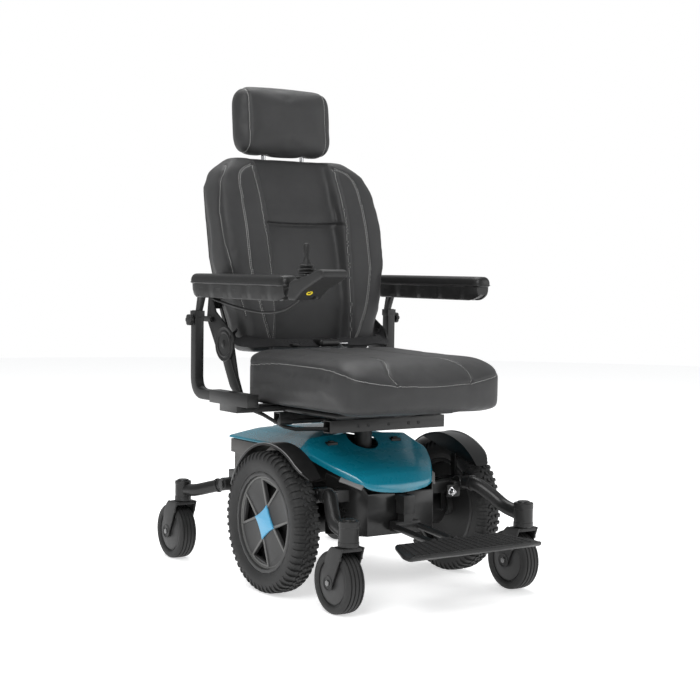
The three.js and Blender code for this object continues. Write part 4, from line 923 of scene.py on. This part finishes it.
def make_front_details():
    """The grey strips, an acorn nut and a tab on the lower front of the base, and caps on the rear arm pivots."""
    strips = []
    for sign in (-1, 1):
        line = [at(sign * x, y, z) for x, y, z in ((138, -92, 273), (121, -114, 266), (104, -138, 256))]
        strip = sweep("strip", smooth_path(line, 4), rounded([(-8, -2.2), (8, -2.2), (8, 2.2), (-8, 2.2)], 1.6, 2),
                      Vector((sign * 0.8, 0.6, 0)))
        strips.append(strip)
    dress(paint(joined("lower_shell_strips", strips), LOOKS["grey"]), "base", slot="grey_plastic")
    for side, sign in SIDES[1:]:
        nut = [(0, -138), (11, -138), (11, -139.6), (8.6, -140), (8.6, -145), (7.6, -146.4), (6.4, -150),
               (4.2, -152.6), (2, -153.6), (0, -153.8)]
        acorn = lathe("nut", nut, at(sign * 164, 0, 228), "Y", 24)
        dress(paint(acorn, LOOKS["chrome"]), "base", slot="bright_steel")
        acorn.name = f"front_nut_{side}"
        tab = slab("tab", [rounded([(sign * 150, 214), (sign * 190, 214), (sign * 190, 244), (sign * 150, 244)], 6)],
                   "Y", -139, -132, 1.2, at(0, 0, 0))
        dress(paint(tab, LOOKS["paint"]), "base", slot="black_frame")
        tab.name = f"front_tab_{side}"
    for side, sign in SIDES:
        cap = [(11, 227), (11, 231), (10, 232.6), (0, 233.2)]
        rear = lathe("nut", [(r, sign * x) for r, x in cap] + [(0, sign * 227)], at(0, 318, 216), segments=24)
        dress(paint(rear, LOOKS["paint"]), f"rear_arm_{side}", slot="black_frame")
        rear.name = f"rear_arm_cap_{side}"


def tray_height(y):
    """The footplate's height at y, as it slopes towards its front."""
    return 157 - 9 * (-330 - y) / 116


def make_footplate():
    outline = rounded([(-148, -330), (-159, -344), (-193, -420), (-190, -448), (-150, -457), (-60, -461), (60, -461),
                       (150, -457), (190, -448), (193, -420), (159, -344), (148, -330)], 12, 4)
    tray = slab("footplate_tray", [outline], "Z", -10, 0, 3.4, at(0, 0, 0))
    modify(tray, "REMESH", mode="VOXEL", voxel_size=0.0026)
    baked(tray)
    for vertex in tray.data.vertices:
        y = (vertex.co.y - AXLE.y) * 1000
        edge = max(0.0, min(1.0, (-438 - y) / 16))
        vertex.co.z += (tray_height(y) + 7.5 * edge * edge * (3 - 2 * edge)) / 1000
    relaxed(tray, 4)
    tray.data.shade_smooth()
    barrel = lathe("barrel", [(5.6, -20), (9, -20), (10, -19), (10, 19), (9, 20), (5.6, 20)], at(0, -318, 147),
                   segments=36, closed=True)
    root = [block("root", (x - 7, -338, 140), (x + 7, -325.5, 153), 2) for x in (-12, 12)]
    stays = [slab("stay", [rounded([(x - 4, -326), (x + 4, -326), (x + 26 * s, -430), (x + 18 * s, -432)], 2)], "Z",
                  -15, -8, 1.2, at(0, 0, 0)) for x, s in ((-90, -1), (90, 1))]
    for stay in stays:
        for vertex in stay.data.vertices:
            y = (vertex.co.y - AXLE.y) * 1000
            vertex.co.z += tray_height(y) / 1000
    dress(paint(joined("footplate_tray", [tray, barrel, *root, *stays]), LOOKS["plastic"]), "footplate", "footplate",
          slot="black_plastic")
    ribs = []

    def bar(a, b, wide):
        count = 14
        line = []
        for k in range(count + 1):
            x, y = a[0] + (b[0] - a[0]) * k / count, a[1] + (b[1] - a[1]) * k / count
            z = tray_height(y) + 0.4
            line.append(at(x, y, z))
        return sweep("bar", line, [(-wide, -1.2), (wide, -1.2), (wide * 0.6, 1.3), (-wide * 0.6, 1.3)], Vector(
            (b[1] - a[1], a[0] - b[0], 0)).normalized())

    for k in range(17):
        x = -144 + 18 * k
        ribs.append(bar((x * 0.98, -338), (x * 1.16, -436), 1.5))
    for k in range(11):
        y = -340 - 9.6 * k
        half = 150 + (y + 340) * -0.22
        ribs.append(bar((-half, y), (half, y), 1.3))
    grid = joined("footplate_tread", ribs)
    dress(paint(grid, LOOKS["rubber"]), "footplate", slot="black_rubber")


# ----------------------------------------------------------------------------- armrests
def pad_outline(grow, y0=-105, y1=350, x0=262, x1=311):
    points = [(x0 - grow, y0 - grow), (x1 + grow, y0 - grow), (x1 + grow, y1 + grow), (x0 - grow, y1 + grow)]
    return rounded(points, 20, 6)


def arm_pad_pieces():
    """The soft top of an armrest, its welt, and the ribbed casing below it."""
    bm = bmesh.new()
    rings = []
    levels = [(-7, 730.5), (-1.6, 731), (-0.4, 734), (0, 738), (-0.2, 743), (-1.2, 748), (-3.4, 752.5), (-7, 755.8),
              (-12, 757.4), (-18, 757.9)]
    for grow, z in levels:
        ring = []
        for x, y in pad_outline(grow):
            dip = 2.2 * math.sin(math.pi * min(1, max(0, (y + 105) / 455))) if z > 745 else 0
            ring.append(bm.verts.new(at(x, y, z - dip)))
        rings.append(ring)
    skin(bm, rings, False)
    bm.faces.new(rings[0])
    centre = rings[-1]
    count = len(centre)
    for k in range(count // 2 - 1):
        bm.faces.new((centre[k], centre[k + 1], centre[count - 2 - k], centre[count - 1 - k]))
    pad = from_bmesh("pad", bm, 60)
    modify(pad, "SUBSURF", levels=1, render_levels=1)
    pad = paint(baked(pad), LOOKS["skin"])
    pad.data.shade_smooth()
    seam = [at(x, y, 735.2) for x, y in pad_outline(0.2)]
    seam.append(seam[0])
    welt = sweep("welt", seam, circle(1.2, 8), Vector((0, 0, 1)))

    def side(y):
        wave = 0.5 - 0.5 * math.cos(2 * math.pi * (y + 70) / 92)
        return 1.6 + 2.6 * wave ** 3

    low, high = 697, 731
    bm = bmesh.new()
    ys = [-96 + 438 * k / 110 for k in range(111)]
    section = []
    for y in ys:
        near = max(0, min(1, (y + 96) / 40))
        tail = max(0, min(1, (342 - y) / 26))
        bottom = low + 12 * (1 - near) ** 2 + 8 * (1 - tail) ** 2
        inset = side(y) + 4 * (1 - near) ** 2 + 3 * (1 - tail) ** 2
        x0, x1 = 262 + inset, 311 - inset
        wide = x1 - x0
        outline = [(x0, high), (x0 + 0.8, (high + bottom) / 2), (x0 + 3.5, bottom + 3), (x0 + 6.5, bottom),
                   (x0 + 10, bottom + 0.2), (x0 + 10.4, bottom + 3), (x0 + wide / 2, bottom + 3.6),
                   (x1 - 10.4, bottom + 3), (x1 - 10, bottom + 0.2),
                   (x1 - 6.5, bottom), (x1 - 3.5, bottom + 3), (x1 - 0.8, (high + bottom) / 2), (x1, high)]
        section.append([bm.verts.new(at(x, y, z)) for x, z in outline])
    skin(bm, section, False)
    bm.faces.new(section[0])
    bm.faces.new(section[-1])
    casing = from_bmesh("casing", bm, 34)
    slots = [block("slot", (260, 44 + k * 74, 708), (264.6, 76 + k * 74, 722), 2) for k in range(4)]
    tool = joined("slots", slots + [mirrored_about(s, 286.5) for s in slots])
    modify(casing, "BOOLEAN", operation="DIFFERENCE", object=tool, solver="EXACT")
    baked(casing)
    bpy.data.objects.remove(tool)
    smooth(casing.data, 34)
    screws = [lathe("screw", [(0, 697.6), (4, 697.4), (5, 698.4), (5, 701), (0, 701)], at(286.5, y, 0), "Z", 20)
              for y in (-60, 60, 180)]
    return {"armrest_cushion": pad, "armrest_welt": paint(welt, LOOKS["skin"]),
            "armrest_casing": paint(casing, LOOKS["plastic"]),
            "armrest_screws": paint(joined("screws", screws), LOOKS["steel"])}


def mirrored_about(piece, x):
    copy = new_piece(piece.name, piece.data.copy())
    middle_x = x / 1000
    for vertex in copy.data.vertices:
        vertex.co.x = 2 * middle_x - vertex.co.x
    copy.data.flip_normals()
    return copy


def arm_tube_piece():
    section = rounded([(-12.5, -12.5), (12.5, -12.5), (12.5, 12.5), (-12.5, 12.5)], 3, 3)
    corner = [tuple(p) for p in bent((277, 454.5), (323, 454.5), (323, 500.5), 12)]
    line = [(66, 454.5), (150, 454.5), (220, 454.5), *corner, (323, 560), (323, 620), (323, 663)]
    tube = sweep("tube", [at(299, y, z) for y, z in line], section, sharp=30)
    bore = block("bore", (288.8, 312.8, 520), (309.2, 333.2, 670), 0.6)
    modify(tube, "BOOLEAN", operation="DIFFERENCE", object=bore, solver="EXACT")
    baked(tube)
    bpy.data.objects.remove(bore)
    cap = [block("collar", (285.4, 309.4, 646), (286.9, 336.6, 663), 0.7),
           block("collar", (285.4, 309.4, 646), (312.6, 310.9, 663), 0.7),
           block("collar", (285.4, 335.1, 646), (312.6, 336.6, 663), 0.7),
           block("collar", (311.1, 309.4, 646), (312.6, 336.6, 663), 0.7),
           block("plug", (287.2, 60, 442.7), (310.8, 66.5, 466.3), 2)]
    return paint(joined("arm_tube", [tube, *cap]), LOOKS["paint"])


def knob_piece():
    body = []
    for k in range(6):
        a = k * 60
        body += [polar(14.4, a - 16), polar(14.9, a), polar(14.4, a + 16), polar(12.2, a + 30)]
    grip = slab("grip", [body], "X", 316, 326.6, 2.4, at(0, 323, 640))
    neck = lathe("neck", [(0, 311.9), (7, 311.9), (8, 313), (7, 316.5), (0, 316.5)], at(0, 323, 640), segments=28)
    return paint(joined("arm_knob", [grip, neck]), LOOKS["plastic"])


def make_armrests():
    pads = arm_pad_pieces()
    slots = {"armrest_cushion": "upholstery", "armrest_welt": "upholstery", "armrest_casing": "black_plastic",
             "armrest_screws": "bright_steel"}
    paired(pads, "arm_pad", {"armrest_casing": ["arm_pad"]}, slots)
    paired({"arm_tube_shell": arm_tube_piece()}, "arm_tube", {"arm_tube_shell": ["arm_tube"]},
           {"arm_tube_shell": "black_frame"})
    paired({"clamp_knob": knob_piece()}, "arm_knob", {"clamp_knob": ["arm_knob"]}, {"clamp_knob": "black_plastic"})


# --------------------------------------------------------------------------- controller
SOCKET_LINE = (at(-2112.7, -3006.6, 777.7), Vector((0.54249, 0.83988, -0.01768)))


def make_controller():
    body = softened("controller_body", 1.8, 34, "controller_case")
    fitted(body, "controller_body", 0)
    dress(paint(body, LOOKS["case"]), "arm_pad_right", "controller_body", slot="black_plastic")
    under = tree_of(body)
    x, y = -290.5, -172
    boot = [(25, 752.4), (24.6, 754.6), (21.4, 756.0), (20.4, 757.4), (19.8, 760.5)]
    collar = lathe("boot_collar", [(18, 748), *boot[:3], (20, 757.2), (15, 757.6), (15, 748)], at(x, y, 0), "Z", 64,
                   closed=True)
    dress(paint(collar, LOOKS["rubber"]), "arm_pad_right", slot="black_rubber")
    folds = [(14, 760.4), (19.8, 761.2), (21.0, 763.2), (20.6, 765.2), (16.2, 767.0), (15.8, 768.0), (19.4, 769.6),
             (20.2, 771.6), (19.6, 773.4), (14.6, 775.2), (14.2, 776.2), (17.2, 777.8), (18, 779.6), (17.2, 781.2),
             (12.6, 783.0), (11.8, 785.5), (9.6, 788.5), (8.2, 792), (6.6, 796), (6.4, 800), (7.2, 804), (8.3, 809),
             (8.7, 815), (8.7, 821), (8.0, 826), (6.2, 829.4), (3.4, 830.7), (0, 831)]
    stick = lathe("joystick_boot", [(0, 760.4), *folds], at(x, y, 0), "Z", 64, sharp=60)
    dress(paint(stick, LOOKS["rubber"]), "joystick", slot="black_rubber")
    shaft = lathe("joystick_shaft", [(0, 737), (5, 737), (5, 761), (0, 761)], at(x, y, 0), "Z", 24)
    dress(paint(shaft, LOOKS["steel"]), "joystick", "joystick", slot="bright_steel")
    refined("speed_dial", LOOKS["plastic"], "speed_dial", 0.8, slot="black_plastic")
    refined("power_button", LOOKS["plastic"], "power_button", 0.8, slot="black_plastic")
    refined("horn_button", LOOKS["plastic"], "horn_button", 0.8, slot="black_plastic")
    place, normal = under.ray_cast(*SOCKET_LINE)[:2]
    turn = Matrix.Translation(place) @ normal.to_track_quat("Z", "Y").to_matrix().to_4x4()
    ring = lathe("charger_ring", [(4.6, 0.4), (5.2, 1.6), (6.6, 1.9), (7.6, 1.2), (7.8, -2), (4.6, -2)],
                 Vector((0, 0, 0)), "Z", 40, closed=True)
    core = lathe("charger_core", [(0, 0.3), (4.7, 0.3), (4.7, -2), (0, -2)], Vector((0, 0, 0)), "Z", 28)
    for piece, look_name, slot in ((ring, "yellow", "black_plastic"), (core, "rubber", "black_rubber")):
        piece.data.transform(turn)
        dress(paint(piece, LOOKS[look_name]), "arm_pad_right", slot=slot)


# ------------------------------------------------------------------------------ seat
def make_recline():
    """The recline discs with their rings, and the moulded arms down to the seat."""
    for side, sign in SIDES:
        hinge = at(0, 289, 579)
        disc = [(0, 243.4), (9, 243.3), (10.4, 242.6), (11.4, 241.4), (27, 241.2), (28.4, 242.4), (31, 242.8),
                (33.6, 242.4), (35, 241), (40, 241.2), (43, 242.2), (45, 240.6), (45.4, 236.2), (0, 236.2)]
        cover = lathe("recline_cover", [(r, sign * a) for r, a in disc], hinge, segments=72)
        dress(paint(cover, LOOKS["plastic"]), "back", slot="black_plastic")
        cover.name = f"recline_cover_{side}"
        outline = rounded([(262, 548), (247, 520), (206, 462), (222, 448), (258, 470), (288, 520), (300, 542)], 9, 4)
        low, high = sorted((sign * 231.6, sign * 240.5))
        arm = slab("recline_arm", [outline], "X", low, high, 2.4)
        dress(paint(arm, LOOKS["plastic"]), "seat", slot="black_plastic")
        arm.name = f"recline_arm_{side}"
        bolt = [(4.4, 240), (9.2, 240.4), (11, 242), (11, 244.5), (8.8, 246.6), (6.4, 246.2), (4.8, 244)]
        ring = lathe("anchor_ring", [(r, sign * (a - 8)) for r, a in bolt], at(0, 249, 484), segments=32, closed=True)
        core = lathe("anchor_bolt", [(0, sign * 237), (4.6, sign * 236.8), (5.4, sign * 235.4), (5.4, sign * 230),
                                     (0, sign * 230)], at(0, 249, 484), segments=6)
        anchor = joined(f"belt_anchor_{side}", [ring, core])
        dress(paint(anchor, LOOKS["chrome"]), "seat", slot="bright_steel")


def webbing_strip(name, line, wide, thick, across):
    u, v = wide / 2, thick / 2
    section = rounded([(-u, -v), (u, -v), (u, v), (-u, v)], 0.6, 2)
    return sweep(name, smooth_path([at(*p) for p in line], 6), section, across, sharp=60)


def make_belts():
    for side, sign in SIDES:
        inner = -28 if side == "right" else 46
        rise = [(sign * 225, 270, 606), (sign * 225, 262, 598), (sign * 220, 244, 590), (sign * 206, 222, 586),
                (sign * 184, 203, 584)]
        wave = [(sign * 150, 195, 586), (sign * 110, 190, 583), (sign * 70, 188, 584), (inner, 187.5, 582)]
        line = rise + [p for p in wave if p[0] * sign > inner * sign + 8] + [wave[-1]]
        strap = webbing_strip("strap", line, 40, 2.6, Vector((0, 0.9, 0.44)))
        dress(paint(strap, LOOKS["webbing"]), "seat", f"lap_belt_{side}", slot="webbing")
        strap.name = f"lap_webbing_{side}"
    case = softened("belt_buckle", 1.0, 3, "buckle_case")
    dress(paint(case, LOOKS["gloss"]), "seat", "belt_buckle", slot="black_plastic")
    plate = rounded([(28, 167), (60, 167), (60, 208), (28, 208)], 5)
    opening = rounded([(50, 170.5), (56, 170.5), (56, 204.5), (50, 204.5)], 2)
    tongue = slab("belt_tongue", [plate, opening], "Z", 580, 583, 0.8)
    dress(paint(tongue, LOOKS["chrome"]), "seat", slot="bright_steel")
    slide = slab("belt_slide", [rounded([(-112, 164), (-92, 164), (-92, 211), (-112, 211)], 4)], "Z", 576.4, 582, 1.6)
    dress(paint(slide, LOOKS["gloss"]), "seat", slot="black_plastic")


# --------------------------------------------------------------------------- cushions
BACK_INNER = [(125, 1042), (127, 1031), (128, 965), (128, 895), (124, 845), (122, 788), (120, 720), (118, 650),
              (119, 620), (122, 570)]
BACK_OUTER = [(128, 1042), (157, 1031), (178, 1006), (184, 950), (185, 892), (186, 828), (184, 777), (181, 755),
              (165, 685), (145, 622), (126, 574)]
BACK_SIDE = [(196, 1040), (214, 1020), (233, 985), (243, 918), (244, 854), (236, 780), (218, 705), (203, 650)]
BACK_CREASE = [(-119, 890), (-60, 887), (0, 886), (60, 887), (119, 890)]
SEAT_RIM = [(-228, 200, 533), (-228, 182, 535), (-228, 119, 541), (-228, 52, 546), (-228, -27, 549),
            (-228, -103, 549), (-228, -164, 544), (-228, -223, 536), (-211, -256, 527), (-178, -269, 520),
            (-143, -276, 515), (-105, -281, 511), (-27, -286, 508), (0, -286, 508)]
SEAT_INNER = [(-108, -281, 512), (-114, -279, 527), (-117, -272, 547), (-112, -250, 556), (-100, -215, 562),
              (-88, -185, 564), (-80, -150, 565), (-76, -100, 565), (-76, 0, 565), (-80, 100, 565), (-86, 180, 565)]


def relaxed(piece, rounds):
    modify(piece, "SMOOTH", factor=0.5, iterations=rounds)
    return baked(piece)


def rounded_off(piece, voxel, rounds):
    """Remeshes a cushion to an even skin and rounds its corners."""
    modify(piece, "REMESH", mode="VOXEL", voxel_size=voxel / 1000)
    baked(piece)
    if rounds:
        relaxed(piece, rounds)
    return piece


def fitted(piece, node, inside, lower=0):
    """Scales a cushion to its CAD node's box, less a margin in millimetres on each side."""
    low, high = [Vector(c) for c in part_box(node)]
    points = np.array([v.co for v in piece.data.vertices])
    small, large = points.min(0), points.max(0)
    low, high = np.array(low) + inside / 1000, np.array(high) - inside / 1000
    points = low + (points - small) * (high - low) / (large - small)
    points[:, 2] -= lower / 1000 * (high[2] - points[:, 2]) / (high[2] - low[2])
    piece.data.vertices.foreach_set("co", points.ravel())
    piece.data.update()
    return piece


def roll_over(piece):
    """Rolls the front and side edges of the seat's top over."""
    for vertex in piece.data.vertices:
        x, y, z = vertex.co.x * 1000, (vertex.co.y - AXLE.y) * 1000, vertex.co.z * 1000
        ahead = max(0.0, min(1.0, (-168 - y) / 124))
        aside = max(0.0, min(1.0, (abs(x) - 180) / 48))
        limit = 572 - 60 * ahead ** 2.1 - 13 * aside ** 2
        if z > 470:
            vertex.co.z = (470 + (z - 470) * (limit - 470) / 102) / 1000
    piece.data.update()


def raise_lumbar(piece):
    """Swells the middle of the backrest above its crease."""
    for vertex in piece.data.vertices:
        x, z = abs(vertex.co.x) * 1000, vertex.co.z * 1000
        if vertex.normal.y > -0.3:
            continue
        inside = max(0.0, min(1.0, (122 - x) / 14))
        lift = 7 * math.exp(-((z - 912) / 26) ** 2) if z > 888 else -2.5 * math.exp(-((z - 880) / 16) ** 2)
        vertex.co.y -= inside * lift / 1000
    piece.data.update()


def swollen(piece, cap, pressure=4.0):
    """Lets a cushion swell as cloth under pressure, each point by no more than cap."""
    before = np.empty(len(piece.data.vertices) * 3)
    piece.data.vertices.foreach_get("co", before)
    cloth = piece.modifiers.new("cloth", "CLOTH")
    settings = cloth.settings
    settings.quality = 4
    settings.mass = 0.4
    settings.tension_stiffness = 18
    settings.compression_stiffness = 18
    settings.shear_stiffness = 8
    settings.bending_stiffness = 1.5
    settings.use_pressure = True
    settings.uniform_pressure_force = pressure
    settings.effector_weights.gravity = 0
    cloth.point_cache.frame_start = 1
    cloth.point_cache.frame_end = 20
    for number in range(1, 21):
        SCENE.frame_set(number)
    mesh = evaluated(piece)
    after = np.empty(len(before))
    mesh.vertices.foreach_get("co", after)
    SCENE.frame_set(1)
    piece.modifiers.clear()
    bpy.data.meshes.remove(mesh)
    before, after = before.reshape(-1, 3), after.reshape(-1, 3)
    step = after - before
    length = np.linalg.norm(step, axis=1, keepdims=True)
    step *= np.minimum(1, cap / 1000 / np.maximum(length, 1e-9))
    piece.data.vertices.foreach_set("co", (before + step).ravel())
    piece.data.update()
    return piece


def grooved(piece, lines, deep, wide):
    """Presses sewn lines into a cushion along its own normals."""
    tree = KDTree(sum(len(line) for line in lines))
    index = 0
    for line in lines:
        for point in line:
            tree.insert(point, index)
            index += 1
    tree.balance()
    mesh = piece.data
    normals = [v.normal.copy() for v in mesh.vertices]
    for vertex, normal in zip(mesh.vertices, normals):
        away = tree.find(vertex.co)[2] * 1000
        if away < wide * 2.5:
            vertex.co -= normal * (deep * math.exp(-(away / wide) ** 2) / 1000)
    mesh.update()


def draped(tree, points, direction, start):
    """Carries a line of points onto a surface along a direction."""
    line = []
    for point in points:
        hit = tree.ray_cast(point - direction * start, direction)
        if hit[0]:
            line.append(hit[0])
    return line


def even(line, pitch):
    """Points at an even pitch along a line."""
    total = path_length(line)
    count = max(2, int(total / pitch))
    out, walked, k = [], 0.0, 0
    for i in range(count + 1):
        goal = total * i / count
        while k < len(line) - 2 and walked + (line[k + 1] - line[k]).length < goal:
            walked += (line[k + 1] - line[k]).length
            k += 1
        step = (line[k + 1] - line[k])
        out.append(line[k] + step * min(1, (goal - walked) / max(step.length, 1e-9)))
    return out


def stitches(bm, tree, line, offset, pitch=4.8, long=3.5, radius=0.62):
    """Short raised threads along a line on a surface."""
    places = even(line, pitch / 1000)
    for a, b in zip(places, places[1:]):
        ahead = (b - a).normalized()
        spot, normal, _, _ = tree.find_nearest((a + b) / 2)
        if spot is None:
            continue
        aside = ahead.cross(normal).normalized()
        spot, normal, _, _ = tree.find_nearest(spot + aside * offset / 1000)
        half = ahead * long / 2000
        rings = []
        for t, grow in ((-1, 0.35), (-0.6, 1), (0.6, 1), (1, 0.35)):
            base = spot + half * t + normal * (0.16 / 1000)
            ring = []
            for k in range(5):
                turn = 2 * math.pi * k / 5
                spoke = aside * math.cos(turn) + normal * math.sin(turn)
                ring.append(bm.verts.new(base + spoke * radius * grow / 1000))
            rings.append(ring)
        skin(bm, rings, False)
        bm.faces.new(rings[0])
        bm.faces.new(rings[-1])


def make_back_cushion():
    cushion = copy_of("back_cushion", "backrest_cushion")
    rounded_off(cushion, 5.5, 30)
    fitted(cushion, "back_cushion", 3)
    swollen(cushion, 3.5)
    relaxed(cushion, 10)
    fitted(cushion, "back_cushion", 0, 9)
    raise_lumbar(cushion)
    tree = tree_of(cushion)
    ahead = Vector((0, 1, 0))

    def front_line(points):
        return draped(tree, smooth_path([at(x, 120, z) for x, z in points], 10), ahead, 0.2)

    inner = [front_line([(s * x, z) for x, z in BACK_INNER]) for s in (-1, 1)]
    outer = [front_line([(s * x, z) for x, z in BACK_OUTER]) for s in (-1, 1)]
    side = [front_line([(s * x, z) for x, z in BACK_SIDE]) for s in (-1, 1)]
    crease = [front_line(BACK_CREASE)]
    fine(cushion)
    grooved(cushion, [even(line, 0.003) for line in inner], 4.5, 5)
    grooved(cushion, [even(line, 0.003) for line in outer], 2.4, 3.6)
    grooved(cushion, [even(line, 0.003) for line in side], 2.6, 4)
    grooved(cushion, [even(line, 0.003) for line in crease], 6, 4)
    tree = tree_of(cushion)
    bm = bmesh.new()
    for line in inner:
        stitches(bm, tree, line, 2.0)
    for line in outer:
        stitches(bm, tree, line, -2.6)
        stitches(bm, tree, line, 2.6)
    for line in side:
        stitches(bm, tree, line, 0)
    thread = paint(from_bmesh("backrest_stitching", bm), LOOKS["thread"])
    dress(paint(cushion, LOOKS["vinyl"]), "back", "back_cushion", slot="upholstery")
    dress(thread, "back", slot="upholstery")


def make_headrest():
    cushion = copy_of("headrest", "headrest_cushion")
    rounded_off(cushion, 5, 22)
    fitted(cushion, "headrest", 4)
    swollen(cushion, 4)
    relaxed(cushion, 12)
    fitted(cushion, "headrest", 0, 8)
    tree = tree_of(cushion)
    lines = []
    for sign in (-1, 1):
        loop = []
        for k in range(80):
            turn = 2 * math.pi * k / 80
            probe = at(sign * 118, 402, 1158) + Vector((0, math.cos(turn), math.sin(turn))) * 0.2
            centre = at(sign * 118, 402, 1158)
            hit = tree.ray_cast(probe, (centre - probe).normalized())
            if hit[0]:
                loop.append(hit[0])
        loop.append(loop[0])
        lines.append(loop)
    fine(cushion)
    grooved(cushion, [even(line, 0.003) for line in lines], 2.6, 4)
    tree = tree_of(cushion)
    bm = bmesh.new()
    for line, sign in zip(lines, (-1, 1)):
        stitches(bm, tree, line, 2.2)
    thread = paint(from_bmesh("headrest_stitching", bm), LOOKS["thread"])
    dress(paint(cushion, LOOKS["vinyl"]), "headrest", "headrest", slot="upholstery")
    dress(thread, "headrest", slot="upholstery")
    refined("headrest_posts", LOOKS["chrome"], "headrest", 0.5, slot="bright_steel")


def make_seat_cushion():
    cushion = copy_of("seat_cushion", "seat_cushion_cover")
    rounded_off(cushion, 5.5, 0)
    roll_over(cushion)
    relaxed(cushion, 26)
    fitted(cushion, "seat_cushion", 3)
    swollen(cushion, 3.5)
    relaxed(cushion, 10)
    fitted(cushion, "seat_cushion", 0)
    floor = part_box("seat_cushion")[0][2] + 0.0004
    for vertex in cushion.data.vertices:
        vertex.co.z = max(vertex.co.z, floor)
    cushion.data.update()
    tree = tree_of(cushion)

    def nearest(points):
        return [tree.find_nearest(p)[0] for p in smooth_path([at(*p) for p in points], 10)]

    def fallen(points):
        return draped(tree, smooth_path([at(x, y, 640) for x, y, _ in points], 10), Vector((0, 0, -1)), 0.0)

    rim = nearest([*SEAT_RIM, *[(-x, y, z) for x, y, z in reversed(SEAT_RIM[:-1])]])
    inner = [nearest([(s * x, y, z) for x, y, z in SEAT_INNER[:5]])
             + fallen([(s * x, y, z) for x, y, z in SEAT_INNER[5:]])
             for s in (-1, 1)]
    fine(cushion)
    grooved(cushion, [even(rim, 0.003)], 2.4, 3.6)
    grooved(cushion, [even(line, 0.003) for line in inner], 3.2, 4.5)
    tree = tree_of(cushion)
    bm = bmesh.new()
    stitches(bm, tree, rim, 1.8)
    for line in inner:
        stitches(bm, tree, line, 2.0)
    thread = paint(from_bmesh("seat_stitching", bm), LOOKS["thread"])
    dress(paint(cushion, LOOKS["vinyl"]), "seat", "seat_cushion", slot="upholstery")
    dress(thread, "seat", slot="upholstery")


def fine(piece):
    modify(piece, "SUBSURF", levels=1, render_levels=1)
    baked(piece)
    piece.data.shade_smooth()


# ------------------------------------------------------------------------------- scene
make_camera()
LOOKS = make_looks()
make_cable()
make_back_cushion()
make_headrest()
make_seat_cushion()
make_drive_wheels()
make_undercarriage()
make_frame_parts()
make_front_cover()
make_rear_cover()
make_fenders()
make_front_details()
make_footplate()
make_armrests()
make_controller()
make_recline()
make_belts()
make_studio()
ground = lathe("ground", [(0, 0), (9000, 0)], at(0, 0, 0), "Z", 64)
paint(ground, LOOKS["floor"])
